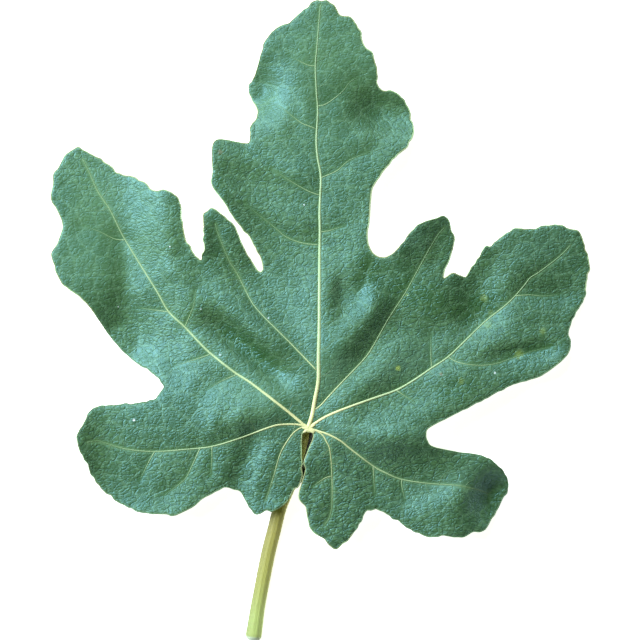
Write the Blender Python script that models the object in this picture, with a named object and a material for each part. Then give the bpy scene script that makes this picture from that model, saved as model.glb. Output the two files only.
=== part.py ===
"""Fig leaf: a broad five-lobed blade over raised ribs that run into its cut stalk, lying flat as picked.

The design below is in millimetres from the point where the stalk meets the blade: +X to the right as
seen from above, +Y to the leaf's tip, +Z up from the surface that it lies on. The objects are in metres,
with the middle of the leaf's box over the world's origin.
"""

import bmesh
import bpy
import numpy as np
from mathutils import Vector
from mathutils.geometry import delaunay_2d_cdt

MM = 0.001

# The blade's sheet
BLADE_THICKNESS = 0.75
SHEET_SPACING = 3.0
MARGIN_SPACING = 2.4
RIB_SPACING = 3.5
SHEET_CLEARANCE = 0.62
FLAT_SNAP = 0.06

# How the blade lies: a low crown over the stalk, falling to the lobes
CROWN_FOOT = 5.0
CROWN_RISE = 7.0
CROWN_MIDDLE_Y = 6.0
CROWN_REACH_X = 59.0
CROWN_REACH_TIP = 93.0
CROWN_REACH_BASE = 32.0
REST_DEPTH = -0.3
LOWEST_TOP = BLADE_THICKNESS
SOFT_FLOOR = 6.0

# Relief of the upper face
VEIN_FLOOR = 0.8
SIDE_GROOVE = 0.35
SIDE_GROOVE_WIDTH = 3.2
BLISTER_SIZE = 6.5
BLISTER_JITTER = 0.34
BLISTER_RISE = 0.28
BLISTER_RISE_AT_BASE = 0.34
BLISTER_BASE = (-2.0, -20.0)
BLISTER_BASE_REACH = 30.0
BLISTER_EDGE = 1.7
BLISTER_SEED = 7
HONEYCOMB_ROW = 0.75**0.5

# The ribs below the blade and the stalk
GAP = 0.32
SIDE_RIB_RADII = (0.62, 0.38)
RIB_SIDES = 2
SIDE_RIB_SIDES = 1
STALK_SIDES = 4
STALK_SPACING = 3.2
CLEARANCE_PROBES = 7
LEAST_SEGMENTS = 3

CURVE_STEPS = 12
SLOPE_STEP = 0.4
VALLEY_BLEND = 6
MEETING_POINTS = 1e-5
TRIANGLES_INSIDE = 1

OUTLINE = {
    "centre lobe, right side": (
        (4.7, 142.8), (7.3, 142.3), (10.7, 138.3), (12.3, 137.2), (14.0, 137.3), (16.8, 133.7),
        (18.8, 127.5), (20.7, 126.0), (21.9, 124.0), (23.1, 118.0), (22.9, 115.3), (24.7, 112.7),
        (27.7, 112.8), (32.3, 109.3), (34.5, 103.0), (35.1, 99.3), (33.3, 94.7), (27.7, 89.3),
        (22.3, 82.0), (21.0, 78.3), (20.3, 69.3), (19.7, 65.3), (20.0, 61.7), (21.5, 58.7),
        (24.0, 57.1), (26.7, 57.6),
    ),
    "right spur": (
        (29.3, 59.3), (34.7, 66.0), (37.3, 68.3), (43.0, 70.3), (45.3, 70.9), (47.0, 69.2),
        (47.7, 66.0), (48.8, 63.2), (47.0, 56.3), (45.3, 52.7), (45.3, 50.2),
    ),
    "right lobe": (
        (48.3, 51.9), (51.3, 50.7), (53.3, 51.7), (59.0, 60.3), (61.2, 61.3), (67.3, 66.0),
        (70.0, 66.7), (76.0, 66.7), (78.3, 67.7), (84.3, 67.9), (86.7, 66.8), (89.3, 66.2),
        (91.3, 64.2), (92.3, 60.0), (93.8, 55.3), (92.5, 47.0), (92.2, 43.3), (90.3, 40.7),
        (87.2, 34.3), (86.8, 31.7), (87.5, 29.0), (87.0, 26.0), (84.7, 23.0), (77.3, 17.7),
        (68.0, 14.8), (57.3, 9.3), (46.3, 3.8), (40.2, 0.5), (39.2, -1.8),
    ),
    "right ear": (
        (39.8, -4.2), (41.7, -6.0), (50.0, -7.8), (58.0, -9.0), (63.7, -12.7), (66.8, -18.5),
        (64.2, -24.7), (60.3, -31.5), (58.0, -34.1), (55.0, -34.2), (51.0, -36.0), (45.0, -35.3),
        (42.0, -36.0), (35.7, -34.2), (27.3, -28.8), (23.3, -26.8), (20.7, -26.7),
    ),
    "right basal lobe": (
        (19.0, -28.0), (15.0, -34.8), (10.5, -39.2), (9.2, -40.0), (7.3, -38.8), (5.3, -36.5),
        (1.5, -34.0), (0.3, -31.3), (-0.6, -26.2), (-2.7, -23.5), (-2.9, -21.3), (-2.2, -18.7),
        (-0.7, -13.5), (-1.3, -11.3), (-0.3, -8.3), (1.9, -2.7), (1.3, -1.0), (0.0, -0.5),
    ),
    "left basal lobe": (
        (-1.6, -0.8), (-2.2, -3.0), (-2.2, -9.7), (-1.9, -11.5), (-2.3, -13.0), (-1.9, -15.5),
        (-3.3, -19.2), (-4.8, -20.0), (-7.2, -24.2), (-11.8, -27.3), (-13.7, -27.0),
        (-17.0, -28.3), (-18.7, -27.2), (-21.2, -22.7), (-22.7, -20.7), (-27.0, -19.3),
    ),
    "left ear": (
        (-29.3, -20.0), (-35.3, -23.2), (-38.7, -26.0), (-45.0, -28.8), (-47.3, -28.2),
        (-55.3, -27.7), (-63.5, -24.0), (-70.3, -18.0), (-73.5, -11.7), (-76.3, -6.2),
        (-76.9, -3.3), (-76.2, -0.5), (-74.7, 1.8), (-72.3, 6.3), (-69.3, 7.5), (-65.0, 7.9),
        (-55.7, 8.7), (-52.3, 9.5), (-49.7, 11.2), (-48.1, 13.7),
    ),
    "left lobe": (
        (-49.3, 16.3), (-51.8, 18.8), (-58.7, 23.3), (-65.2, 30.0), (-71.7, 39.3), (-75.0, 43.2),
        (-79.3, 46.5), (-82.5, 49.3), (-85.0, 56.0), (-85.4, 58.8), (-83.7, 61.5), (-81.7, 67.7),
        (-83.7, 73.3), (-85.2, 75.5), (-85.6, 78.0), (-84.9, 81.7), (-84.8, 85.0), (-83.2, 87.0),
        (-80.8, 91.2), (-77.2, 93.7), (-75.0, 93.0), (-68.7, 89.5), (-66.0, 87.7), (-63.7, 85.3),
        (-58.7, 84.0), (-54.0, 81.8), (-52.7, 80.0), (-50.7, 79.2), (-48.0, 79.6), (-43.2, 76.7),
        (-42.0, 69.3), (-41.3, 65.0), (-39.8, 61.2), (-36.0, 56.2),
    ),
    "left spur": (
        (-34.7, 59.0), (-34.5, 61.7), (-34.7, 66.3), (-34.6, 71.0), (-33.3, 72.9), (-32.0, 73.5),
        (-30.0, 72.3), (-24.7, 67.7), (-21.7, 60.8), (-17.8, 54.2), (-16.0, 52.2),
    ),
    "centre lobe, left side": (
        (-14.8, 53.7), (-15.5, 56.5), (-19.2, 63.7), (-23.8, 69.2), (-28.0, 75.8), (-31.9, 81.2),
        (-31.7, 85.8), (-31.9, 93.3), (-30.8, 96.0), (-28.0, 96.4), (-21.7, 95.2), (-19.7, 95.5),
        (-19.1, 98.0), (-19.2, 100.7), (-16.6, 105.0), (-18.8, 110.3), (-19.7, 112.8),
        (-19.7, 115.0), (-18.0, 117.0), (-15.2, 126.3), (-14.5, 128.8), (-11.0, 133.2),
        (-6.5, 135.3), (-4.0, 137.3), (1.7, 142.2),
    ),
}

# Each main rib: its path as seen from above, and its radius at both ends
RIBS = {
    "midrib": ((
        (0.0, 0.3), (1.3, 4.3), (2.3, 9.7), (3.5, 16.3), (3.6, 24.7), (3.8, 33.0), (3.9, 56.3),
        (4.0, 65.7), (3.9, 73.0), (4.3, 83.7), (3.2, 90.7), (2.8, 96.3), (3.2, 103.7),
        (3.2, 107.7), (2.8, 113.0), (2.5, 121.0), (3.0, 127.0),
    ), 1.35, 0.4),
    "right upper": ((
        (0.0, 0.3), (2.9, 2.3), (6.5, 4.4), (12.7, 7.0), (21.9, 10.3), (29.3, 12.9), (35.3, 16.3),
        (41.2, 20.3), (46.6, 23.9), (51.8, 28.8), (59.0, 35.7), (67.0, 42.2), (72.0, 47.7),
        (74.2, 50.5), (77.1, 52.3), (84.0, 57.6),
    ), 1.15, 0.4),
    "left upper": ((
        (0.0, 0.3), (-6.0, 5.3), (-12.0, 10.0), (-19.3, 15.6), (-24.3, 18.8), (-32.3, 25.1),
        (-36.8, 29.5), (-41.0, 34.0), (-46.4, 39.1), (-50.2, 45.7), (-56.8, 56.3),
        (-61.9, 64.8), (-65.9, 72.9), (-70.0, 79.1), (-72.7, 85.2),
    ), 1.15, 0.4),
    "left middle": ((
        (2.7, 19.8), (-2.7, 25.4), (-7.4, 30.2), (-13.6, 36.3), (-17.0, 40.0), (-19.3, 43.3),
        (-23.3, 51.3), (-26.0, 55.7), (-28.0, 60.3), (-30.2, 66.0),
    ), 0.75, 0.38),
    "right middle": ((
        (1.9, 6.3), (4.0, 7.7), (7.0, 11.0), (11.4, 15.7), (18.3, 22.9), (21.3, 27.0),
        (26.9, 36.9), (32.3, 45.2), (37.3, 54.3), (41.0, 61.0), (43.5, 65.0),
    ), 0.85, 0.38),
    "left lower": ((
        (0.0, 0.3), (-3.3, 1.5), (-9.3, 1.5), (-12.7, 0.7), (-16.0, -0.5), (-23.3, -3.2),
        (-32.0, -5.8), (-41.0, -6.8), (-51.0, -7.5), (-60.0, -6.8), (-67.3, -4.8), (-70.0, -4.0),
    ), 0.95, 0.4),
    "right lower": ((
        (0.0, 0.3), (4.0, -0.8), (7.3, -2.0), (11.0, -4.0), (14.7, -7.0), (21.7, -12.3),
        (25.7, -14.5), (31.3, -16.8), (40.7, -18.2), (49.7, -18.8), (56.7, -20.3),
    ), 0.95, 0.4),
    "left basal": ((
        (-1.4, 0.9), (-3.7, -0.3), (-5.7, -2.3), (-9.0, -7.7), (-11.3, -15.3), (-13.4, -22.0),
    ), 0.65, 0.38),
    "right basal": ((
        (1.6, 0.0), (4.7, -1.8), (6.2, -4.3), (7.3, -7.0), (8.0, -15.3), (8.0, -25.3), (7.0, -30.0),
    ), 0.7, 0.38),
}

SIDE_RIBS = {
    "midrib, right, top": ((3.2, 107.7), (6.0, 108.3), (11.3, 112.3), (14.0, 115.7), (16.7, 117.0)),
    "midrib, right, middle": ((4.3, 83.7), (6.7, 84.7), (10.0, 86.3), (14.0, 89.7), (20.7, 92.3)),
    "midrib, right, low": ((4.0, 65.7), (6.7, 66.0), (12.3, 67.7)),
    "midrib, left, top": ((2.5, 121.0), (0.0, 121.3), (-5.7, 124.0)),
    "midrib, left, high": ((2.7, 100.0), (0.3, 101.0), (-2.7, 102.3), (-9.7, 108.0)),
    "midrib, left, middle": ((4.0, 77.9), (0.7, 79.0), (-4.3, 81.7), (-12.0, 86.5)),
    "midrib, left, low": ((3.7, 61.3), (-2.0, 62.0), (-7.4, 64.1), (-11.5, 67.5), (-21.0, 75.0)),
    "left lobe, outer, high": ((-60.7, 63.0), (-64.3, 63.3), (-69.3, 65.7), (-74.3, 67.5)),
    "left lobe, outer, low": ((-46.3, 39.0), (-50.0, 39.5), (-56.0, 40.3)),
    "left lobe, inner": ((-41.0, 34.0), (-39.3, 38.0), (-38.0, 41.3), (-37.3, 46.3)),
    "left lobe, base, outer": ((-32.3, 25.0), (-36.0, 23.7), (-44.3, 21.0)),
    "left lobe, base, inner": ((-23.3, 18.3), (-28.7, 16.0), (-33.3, 13.3)),
    "right lobe, base": ((29.7, 12.8), (32.3, 11.0), (35.7, 9.0)),
    "right lobe, inner": ((41.2, 20.3), (41.0, 24.7), (41.0, 31.0)),
    "right lobe, long": (
        (46.7, 24.0), (49.3, 22.5), (52.3, 21.7), (57.3, 21.2), (62.3, 21.7), (67.3, 23.3),
        (74.0, 25.7), (80.7, 27.3),
    ),
    "right lobe, crease": ((69.2, 44.4), (74.0, 44.7), (79.0, 44.3), (84.0, 45.0)),
    "left ear, inner": ((-32.0, -5.8), (-32.0, -10.3), (-32.3, -15.3)),
    "left ear, middle": (
        (-36.0, -6.5), (-37.7, -10.3), (-39.3, -13.7), (-41.3, -17.0), (-47.7, -22.0),
    ),
    "left ear, outer": ((-51.0, -7.5), (-52.7, -10.3), (-56.0, -17.0)),
    "right ear, inner": ((21.7, -12.3), (22.0, -17.0), (22.3, -22.0)),
    "right ear, outer": ((31.3, -16.8), (31.3, -19.0), (32.5, -24.0)),
    "right basal lobe": ((8.0, -15.7), (5.7, -16.3), (1.8, -19.0)),
}

# The valley over each main rib: depth at its two ends, and width
VALLEYS = {
    "midrib": (0.7, 0.2, 7.0),
    "right upper": (1.0, 0.8, 6.0),
    "left upper": (1.0, 0.3, 6.5),
    "left middle": (0.8, 0.8, 5.5),
    "right middle": (1.4, 0.4, 6.5),
    "left lower": (1.4, 0.2, 7.0),
    "right lower": (1.4, 0.6, 7.0),
    "left basal": (0.6, 0.6, 6.0),
    "right basal": (0.6, 0.8, 6.5),
}

# Each fold of the blade: where its line starts and ends, its height (a hollow is below zero), its width
FOLDS = {
    "left lobe, crest by the sinus": ((-52, 102), (-45, 58), 4.8, 8.5),
    "left lobe, crest to the base": ((-45, 56), (-36, 37), 2.4, 6.0),
    "left lobe, hollow": ((-63, 66), (-60, 30), -2.2, 4.6),
    "step above the left upper rib": ((-33, 47), (-6, 24), 2.4, 5.0),
    "hollow above the left upper rib": ((-32, 36), (-6, 15), -3.0, 4.5),
    "crest below the left lobe": ((-8, 5), (-33, 8), 2.4, 6.5),
    "steep face above the left ear": ((-20, 2), (-34, 0), 1.4, 5.0),
    "left ear, lower edge": ((-34, -32), (-62, -32), 2.8, 7.0),
    "left ear, end": ((-82, 12), (-78, -16), 4.6, 8.0),
    "left basal lobe, hollow": ((-17, -1), (-25, -24), -2.0, 4.6),
    "left basal lobe, lower edge": ((-18, -32), (-6, -28), 1.8, 5.0),
    "left spur, raised left side": ((-37, 72), (-35, 58), 2.4, 4.0),
    "crest along the midrib": ((7, 16), (5, 54), 2.6, 8.0),
    "centre lobe, left wing": ((-40, 100), (-25, 54), 5.0, 10.5),
    "centre lobe, high ripple": ((-34, 94), (2, 82), 1.3, 4.0),
    "centre lobe, low ripple": ((-30, 80), (2, 66), 1.3, 4.0),
    "centre lobe, upper left": ((-6, 98), (0, 132), 1.0, 9.0),
    "right shoulder, groove": ((15, 107), (42, 104), -5.4, 8.0),
    "right sinus, hollow": ((9, 45), (20, 45), -2.0, 6.0),
    "crest left of the right middle rib": ((11, 25), (25, 46), 2.8, 5.5),
    "crest right of the right middle rib": ((9, 4), (33, 31), 1.2, 5.5),
    "right sinus and spur, raised margin": ((25, 60), (46, 78), 4.0, 8.0),
    "right notch, hollow": ((60, 58), (53, 34), -3.0, 8.0),
    "right lobe, falling end": ((94, 62), (94, 24), -3.0, 22.0),
    "crest below the right lobe": ((20, -6), (62, 15), 1.6, 7.0),
    "right lobe, crease": ((68, 45), (94, 44), -1.0, 4.0),
    "right lobe, lower crease": ((62, 25), (82, 27), -1.2, 4.0),
    "crest above the right ear": ((14, -2), (48, -5), 2.0, 5.0),
    "crest right of the stalk": ((5, -6), (14, 2), 0.8, 4.6),
    "right ear, crest": ((40, -42), (67, -8), 2.2, 8.0),
    "right basal lobe, crest": ((3, -20), (8, -46), 0.8, 6.5),
}

# Where the margin comes down to the surface: the place, and how far round it the blade is drawn down
RESTS = {
    "left lobe": ((-62, 29), 13.0),
    "right ear": ((64, -23), 9.0),
    "centre lobe": ((-18, 113), 8.5),
}

# The stalk's centre line, with its height, and its radius
STALK = (
    (0.0, 0.9, 7.0, 1.5),
    (-0.5, -2.3, 6.6, 2.0),
    (-1.8, -6.8, 5.6, 2.1),
    (-3.4, -11.5, 4.6, 2.15),
    (-6.1, -18.5, 3.7, 2.2),
    (-9.3, -26.0, 3.0, 2.3),
    (-11.3, -33.7, 2.53, 2.35),
    (-13.0, -40.3, 2.43, 2.4),
    (-14.4, -47.0, 2.42, 2.4),
    (-15.7, -53.7, 2.42, 2.4),
    (-16.9, -60.3, 2.48, 2.45),
    (-17.8, -66.4, 2.65, 2.62),
    (-18.2, -69.2, 2.73, 2.7),
    (-18.3, -70.1, 2.73, 2.35),
)


def spline_points(points, closed):
    """Many points along a smooth curve through the given ones, in any number of coordinates."""
    given = np.asarray(points, float)
    if closed:
        first, second, third, fourth = (np.roll(given, shift, axis=0) for shift in (1, 0, -1, -2))
    else:
        ends = np.vstack([2 * given[0] - given[1], given, 2 * given[-1] - given[-2]])
        first, second, third, fourth = ends[:-3], ends[1:-2], ends[2:-1], ends[3:]
    t = np.linspace(0, 1, CURVE_STEPS, endpoint=False)[:, None, None]
    straight = 2 * second + (third - first) * t
    square = (2 * first - 5 * second + 4 * third - fourth) * t**2
    cube = (3 * second - first - 3 * third + fourth) * t**3
    curve = (0.5 * (straight + square + cube)).transpose(1, 0, 2).reshape(-1, given.shape[1])
    return np.vstack([curve, given[:1] if closed else given[-1:]])


def spaced(points, spacing, closed=False):
    """Points at an even spacing along the smooth curve through the given ones."""
    curve = spline_points(points, closed)
    lengths = np.linalg.norm(np.diff(curve, axis=0), axis=1)
    travelled = np.concatenate([[0.0], np.cumsum(lengths)])
    count = max(LEAST_SEGMENTS, round(travelled[-1] / spacing))
    places = np.linspace(0, travelled[-1], count + 1)
    if closed:
        places = places[:-1]
    return np.stack([np.interp(places, travelled, axis) for axis in curve.T], axis=1)


def near_line(points, line):
    """Each point's distance to a line of points, and how far along it the nearest place is, 0 to 1."""
    best = np.full(len(points), np.inf)
    along = np.zeros(len(points))
    for index, (start, end) in enumerate(zip(line[:-1], line[1:])):
        side = end - start
        t = np.clip((points - start) @ side / (side @ side), 0, 1)
        distance = np.linalg.norm(points - start - t[:, None] * side, axis=1)
        closer = distance < best
        best[closer] = distance[closer]
        along[closer] = (index + t[closer]) / (len(line) - 1)
    return best, along


def fold_shape(points, start, end, width):
    """1 on the fold's line, falling off across it and towards its two ends."""
    start, end = np.array(start, float), np.array(end, float)
    half = np.linalg.norm(end - start) / 2
    ahead = (end - start) / (2 * half)
    from_middle = points - (start + end) / 2
    across = from_middle @ np.array([-ahead[1], ahead[0]])
    return np.exp(-((from_middle @ ahead / half) ** 4) - (across / width) ** 2)


def crown(points):
    reach_y = np.where(points[:, 1] > CROWN_MIDDLE_Y, CROWN_REACH_TIP, CROWN_REACH_BASE)
    away = np.hypot(points[:, 0] / CROWN_REACH_X, (points[:, 1] - CROWN_MIDDLE_Y) / reach_y)
    return CROWN_FOOT + CROWN_RISE * np.exp(-(away**2))


def valleys(points):
    """Depth of the valley over the main ribs: where two meet, about the deeper one counts."""
    total = np.zeros(len(points))
    for name, (start_depth, end_depth, width) in VALLEYS.items():
        distance, along = near_line(points, spaced(RIBS[name][0], SHEET_SPACING))
        depth = start_depth + (end_depth - start_depth) * along
        total += (depth * np.exp(-np.hypot(distance, VEIN_FLOOR) / width)) ** VALLEY_BLEND
    return total ** (1 / VALLEY_BLEND)


def side_grooves(points):
    """Depth of the shallow grooves over the side ribs, and the distance to the nearest rib of any kind."""
    nearest = np.full(len(points), np.inf)
    for path, *_ in RIBS.values():
        nearest = np.minimum(nearest, near_line(points, spaced(path, SHEET_SPACING))[0])
    sides = np.full(len(points), np.inf)
    for path in SIDE_RIBS.values():
        sides = np.minimum(sides, near_line(points, spaced(path, SHEET_SPACING))[0])
    return SIDE_GROOVE * np.exp(-((sides / SIDE_GROOVE_WIDTH) ** 2)), np.minimum(nearest, sides)


def blister_seeds():
    """The middle of each small raised block between the veins, on a loose honeycomb."""
    outline = np.array([point for stretch in OUTLINE.values() for point in stretch])
    low, high = outline.min(axis=0) - BLISTER_SIZE, outline.max(axis=0) + BLISTER_SIZE
    rows = np.arange(low[1], high[1], BLISTER_SIZE * HONEYCOMB_ROW)
    columns = np.arange(low[0], high[0], BLISTER_SIZE)
    x, y = np.meshgrid(columns, rows)
    x[1::2] += BLISTER_SIZE / 2
    seeds = np.stack([x.ravel(), y.ravel()], axis=1)
    random = np.random.default_rng(BLISTER_SEED)
    return seeds + random.uniform(-1, 1, seeds.shape) * BLISTER_SIZE * BLISTER_JITTER


def blisters(points, to_rib):
    """The raised blocks that the net of fine veins parts, flat along the ribs and highest at the base."""
    away = np.linalg.norm(points[:, None] - blister_seeds()[None], axis=2)
    first, second = np.partition(away, 1, axis=1)[:, :2].T
    block = 1 - np.exp(-(((second - first) / BLISTER_EDGE) ** 2))
    from_base = np.linalg.norm(points - np.array(BLISTER_BASE), axis=1) / BLISTER_BASE_REACH
    rise = BLISTER_RISE + BLISTER_RISE_AT_BASE * np.exp(-(from_base**2))
    return rise * block * (1 - np.exp(-((to_rib / BLISTER_SIZE) ** 2)))


def top_height(points):
    """Height of the blade's upper face over each point, in millimetres."""
    grooves, to_rib = side_grooves(points)
    height = crown(points) - valleys(points) - grooves + blisters(points, to_rib)
    for start, end, rise, width in FOLDS.values():
        height = height + rise * fold_shape(points, start, end, width)
    for place, reach in RESTS.values():
        drawn = np.exp(-((np.linalg.norm(points - np.array(place), axis=1) / reach) ** 2))
        height = height + drawn * (REST_DEPTH - height)
    return LOWEST_TOP + np.logaddexp(0, (height - LOWEST_TOP) * SOFT_FLOOR) / SOFT_FLOOR


def bottom_height(points):
    """Height of the blade's lower face: the thickness is measured square to the blade's slope."""
    slopes = [
        (top_height(points + step) - top_height(points - step)) / (2 * SLOPE_STEP)
        for step in SLOPE_STEP * np.eye(2)
    ]
    drop = BLADE_THICKNESS * np.sqrt(1 + slopes[0] ** 2 + slopes[1] ** 2)
    height = top_height(points) - drop
    return np.where(height < FLAT_SNAP, 0.0, height)


def inside(points, outline):
    """Which points lie inside the closed outline."""
    result = np.zeros(len(points), bool)
    x, y = points.T
    for (x0, y0), (x1, y1) in zip(outline, np.roll(outline, -1, axis=0)):
        crosses = (y0 > y) != (y1 > y)
        if y0 != y1:
            result ^= crosses & (x < x0 + (y - y0) * (x1 - x0) / (y1 - y0))
    return result


def sheet_points(outline, lines):
    """A honeycomb of points inside the outline, clear of it and of the lines."""
    low, high = outline.min(axis=0), outline.max(axis=0)
    rows = np.arange(low[1], high[1], SHEET_SPACING * HONEYCOMB_ROW)
    columns = np.arange(low[0], high[0], SHEET_SPACING)
    x, y = np.meshgrid(columns, rows)
    x[1::2] += SHEET_SPACING / 2
    points = np.stack([x.ravel(), y.ravel()], axis=1)
    points = points[inside(points, outline)]
    fixed = np.vstack([outline, *lines])
    away = np.linalg.norm(points[:, None] - fixed[None], axis=2).min(axis=1)
    return points[away > SHEET_CLEARANCE * SHEET_SPACING]


def sheet_mesh():
    """The blade seen from above, split into triangles that follow the margin and the main ribs."""
    outline = spaced([point for stretch in OUTLINE.values() for point in stretch],
                     MARGIN_SPACING, closed=True)
    outline = outline[::-1]
    lines = [spaced(path, RIB_SPACING) for path, *_ in RIBS.values()]
    points = [outline, *lines, sheet_points(outline, lines)]
    starts = np.cumsum([0] + [len(group) for group in points])
    edges = [(i, (i + 1) % len(outline)) for i in range(len(outline))]
    for start, line in zip(starts[1:], lines):
        edges += [(int(start) + i, int(start) + i + 1) for i in range(len(line) - 1)]
    vertices = [Vector(point) for point in np.vstack(points)]
    made = delaunay_2d_cdt(vertices, edges, [], TRIANGLES_INSIDE, MEETING_POINTS)
    return np.array([tuple(point) for point in made[0]]), [tuple(face) for face in made[2]]


def blade_mesh():
    """The sheet raised to its height, given its thickness by an extrusion, closed all round."""
    plan, faces = sheet_mesh()
    top = np.column_stack([plan, top_height(plan)]) * MM
    mesh = bpy.data.meshes.new("leaf_blade")
    mesh.from_pydata(top.tolist(), [], faces)
    solid = bmesh.new()
    solid.from_mesh(mesh)
    made = bmesh.ops.extrude_face_region(solid, geom=solid.faces[:])
    lower = [item for item in made["geom"] if isinstance(item, bmesh.types.BMVert)]
    under = bottom_height(np.array([vertex.co.xy for vertex in lower]) / MM) * MM
    for vertex, height in zip(lower, under):
        vertex.co.z = height
    bmesh.ops.triangulate(solid, faces=solid.faces[:])
    bmesh.ops.recalc_face_normals(solid, faces=solid.faces[:])
    solid.to_mesh(mesh)
    solid.free()
    return mesh


def rib_path(path, radii):
    """A rib's centre line close under the blade, ended where the blade leaves it no room."""
    plan = spaced(path, RIB_SPACING)
    radius = np.linspace(*radii, len(plan))
    ahead = np.gradient(plan, axis=0)
    ahead /= np.linalg.norm(ahead, axis=1)[:, None]
    side = np.stack([-ahead[:, 1], ahead[:, 0]], axis=1)
    clear = np.full(len(plan), np.inf)
    for share in np.linspace(-1, 1, CLEARANCE_PROBES):
        above = bottom_height(plan + side * (share * radius)[:, None])
        clear = np.minimum(clear, above - radius * np.sqrt(1 - share**2))
    axis = clear - GAP
    low = np.flatnonzero(axis - radius < 0)
    end = low[0] if len(low) else len(plan)
    return np.column_stack([plan, axis])[:end], radius[:end]


def tube(name, path, radius, sides, collection):
    """A closed tube along the path, as a mesh object, its caps welded to its sides."""
    curve = bpy.data.curves.new(name, "CURVE")
    curve.dimensions = "3D"
    curve.bevel_depth = MM
    curve.bevel_resolution = sides
    curve.use_fill_caps = True
    curve.twist_mode = "Z_UP"
    spline = curve.splines.new("POLY")
    spline.points.add(len(path) - 1)
    homogeneous = np.column_stack([path * MM, np.ones(len(path))])
    spline.points.foreach_set("co", homogeneous.ravel())
    spline.points.foreach_set("radius", radius)
    guide = bpy.data.objects.new(name, curve)
    collection.objects.link(guide)
    graph = bpy.context.evaluated_depsgraph_get()
    mesh = bpy.data.meshes.new_from_object(guide.evaluated_get(graph))
    bpy.data.objects.remove(guide)
    weld = bmesh.new()
    weld.from_mesh(mesh)
    bmesh.ops.remove_doubles(weld, verts=weld.verts[:], dist=MM / 1000)
    bmesh.ops.triangulate(weld, faces=weld.faces[:])
    bmesh.ops.recalc_face_normals(weld, faces=weld.faces[:])
    weld.to_mesh(mesh)
    weld.free()
    piece = bpy.data.objects.new(name, mesh)
    collection.objects.link(piece)
    return piece


def join_all(body, others):
    """Unites a collection's objects with the body, then removes them."""
    modifier = body.modifiers.new("union", "BOOLEAN")
    modifier.operation = "UNION"
    modifier.solver = "MANIFOLD"
    modifier.operand_type = "COLLECTION"
    modifier.collection = others
    graph = bpy.context.evaluated_depsgraph_get()
    joined = bpy.data.meshes.new_from_object(body.evaluated_get(graph))
    body.modifiers.clear()
    body.data = joined
    for piece in list(others.objects):
        bpy.data.objects.remove(piece)
    bpy.data.collections.remove(others)


def stalk_with_ribs(leaf):
    """The stalk, with all the ribs that spread from its top under the blade, as one body."""
    line = spaced(STALK, STALK_SPACING)
    body = tube("stalk_and_ribs", line[:, :3], line[:, 3], STALK_SIDES, leaf)
    ribs = bpy.data.collections.new("ribs")
    bpy.context.scene.collection.children.link(ribs)
    for name, (path, *radii) in RIBS.items():
        tube(name, *rib_path(path, radii), RIB_SIDES, ribs)
    for name, path in SIDE_RIBS.items():
        line, radius = rib_path(path, SIDE_RIB_RADII)
        if len(line) >= LEAST_SEGMENTS:
            tube(name, line, radius, SIDE_RIB_SIDES, ribs)
    join_all(body, ribs)
    return body


def plain_material(name, colour, roughness):
    material = bpy.data.materials.new(name)
    material.use_nodes = True
    shader = material.node_tree.nodes["Principled BSDF"]
    shader.inputs["Base Color"].default_value = (*colour, 1.0)
    shader.inputs["Roughness"].default_value = roughness
    shader.inputs["Metallic"].default_value = 0.0
    return material


def clear_scene():
    for item in list(bpy.data.objects):
        bpy.data.objects.remove(item)


def centre_over_origin(pieces):
    """Parents the pieces to one empty that brings the middle of the leaf's box over the origin."""
    corners = np.vstack([[vertex.co[:] for vertex in piece.data.vertices] for piece in pieces])
    middle = (corners.min(axis=0) + corners.max(axis=0)) / 2
    frame = bpy.data.objects.new("leaf_frame", None)
    frame.location = (-middle[0], -middle[1], 0.0)
    pieces[0].users_collection[0].objects.link(frame)
    for piece in pieces:
        piece.parent = frame


def main():
    clear_scene()
    leaf = bpy.data.collections.new("fig_leaf")
    bpy.context.scene.collection.children.link(leaf)
    blade = bpy.data.objects.new("leaf_blade", blade_mesh())
    leaf.objects.link(blade)
    stalk = stalk_with_ribs(leaf)
    blade.data.materials.append(plain_material("leaf_green", (0.10, 0.22, 0.13), 0.5))
    stalk.data.materials.clear()
    stalk.data.materials.append(plain_material("rib_yellow_green", (0.55, 0.62, 0.30), 0.55))
    centre_over_origin([blade, stalk])


if __name__ == "__main__":
    main()
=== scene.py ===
"""The looks of a fig leaf: its blade, veins, margin, stalk and hairs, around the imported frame.

The shapes are worked out in millimetres from the point where the stalk meets the blade, with +X to the
right as seen from above, +Y to the leaf's tip and +Z up from the surface that the leaf lies on. They
become metres in the row's frame when a mesh is made.
"""

import logging
from dataclasses import dataclass, field
from enum import Enum
from typing import Any

import bpy
import numpy as np
from bpy.types import Material, Mesh, Node, NodeSocket, NodeTree, Object
from mathutils.geometry import delaunay_2d_cdt
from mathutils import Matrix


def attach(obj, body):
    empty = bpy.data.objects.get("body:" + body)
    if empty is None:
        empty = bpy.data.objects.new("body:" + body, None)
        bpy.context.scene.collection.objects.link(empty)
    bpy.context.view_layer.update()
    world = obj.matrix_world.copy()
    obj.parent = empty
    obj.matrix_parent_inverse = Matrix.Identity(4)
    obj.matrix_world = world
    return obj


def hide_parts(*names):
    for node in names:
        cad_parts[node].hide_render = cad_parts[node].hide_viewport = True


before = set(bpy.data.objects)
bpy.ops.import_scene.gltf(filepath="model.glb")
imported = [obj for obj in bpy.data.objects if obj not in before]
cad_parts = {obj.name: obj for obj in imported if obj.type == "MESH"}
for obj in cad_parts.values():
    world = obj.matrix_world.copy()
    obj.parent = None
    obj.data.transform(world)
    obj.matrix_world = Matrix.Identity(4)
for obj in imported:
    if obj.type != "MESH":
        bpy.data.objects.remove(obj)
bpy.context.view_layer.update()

log = logging.getLogger("fig_leaf")

Array = np.ndarray
Pair = tuple[float, float]

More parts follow.
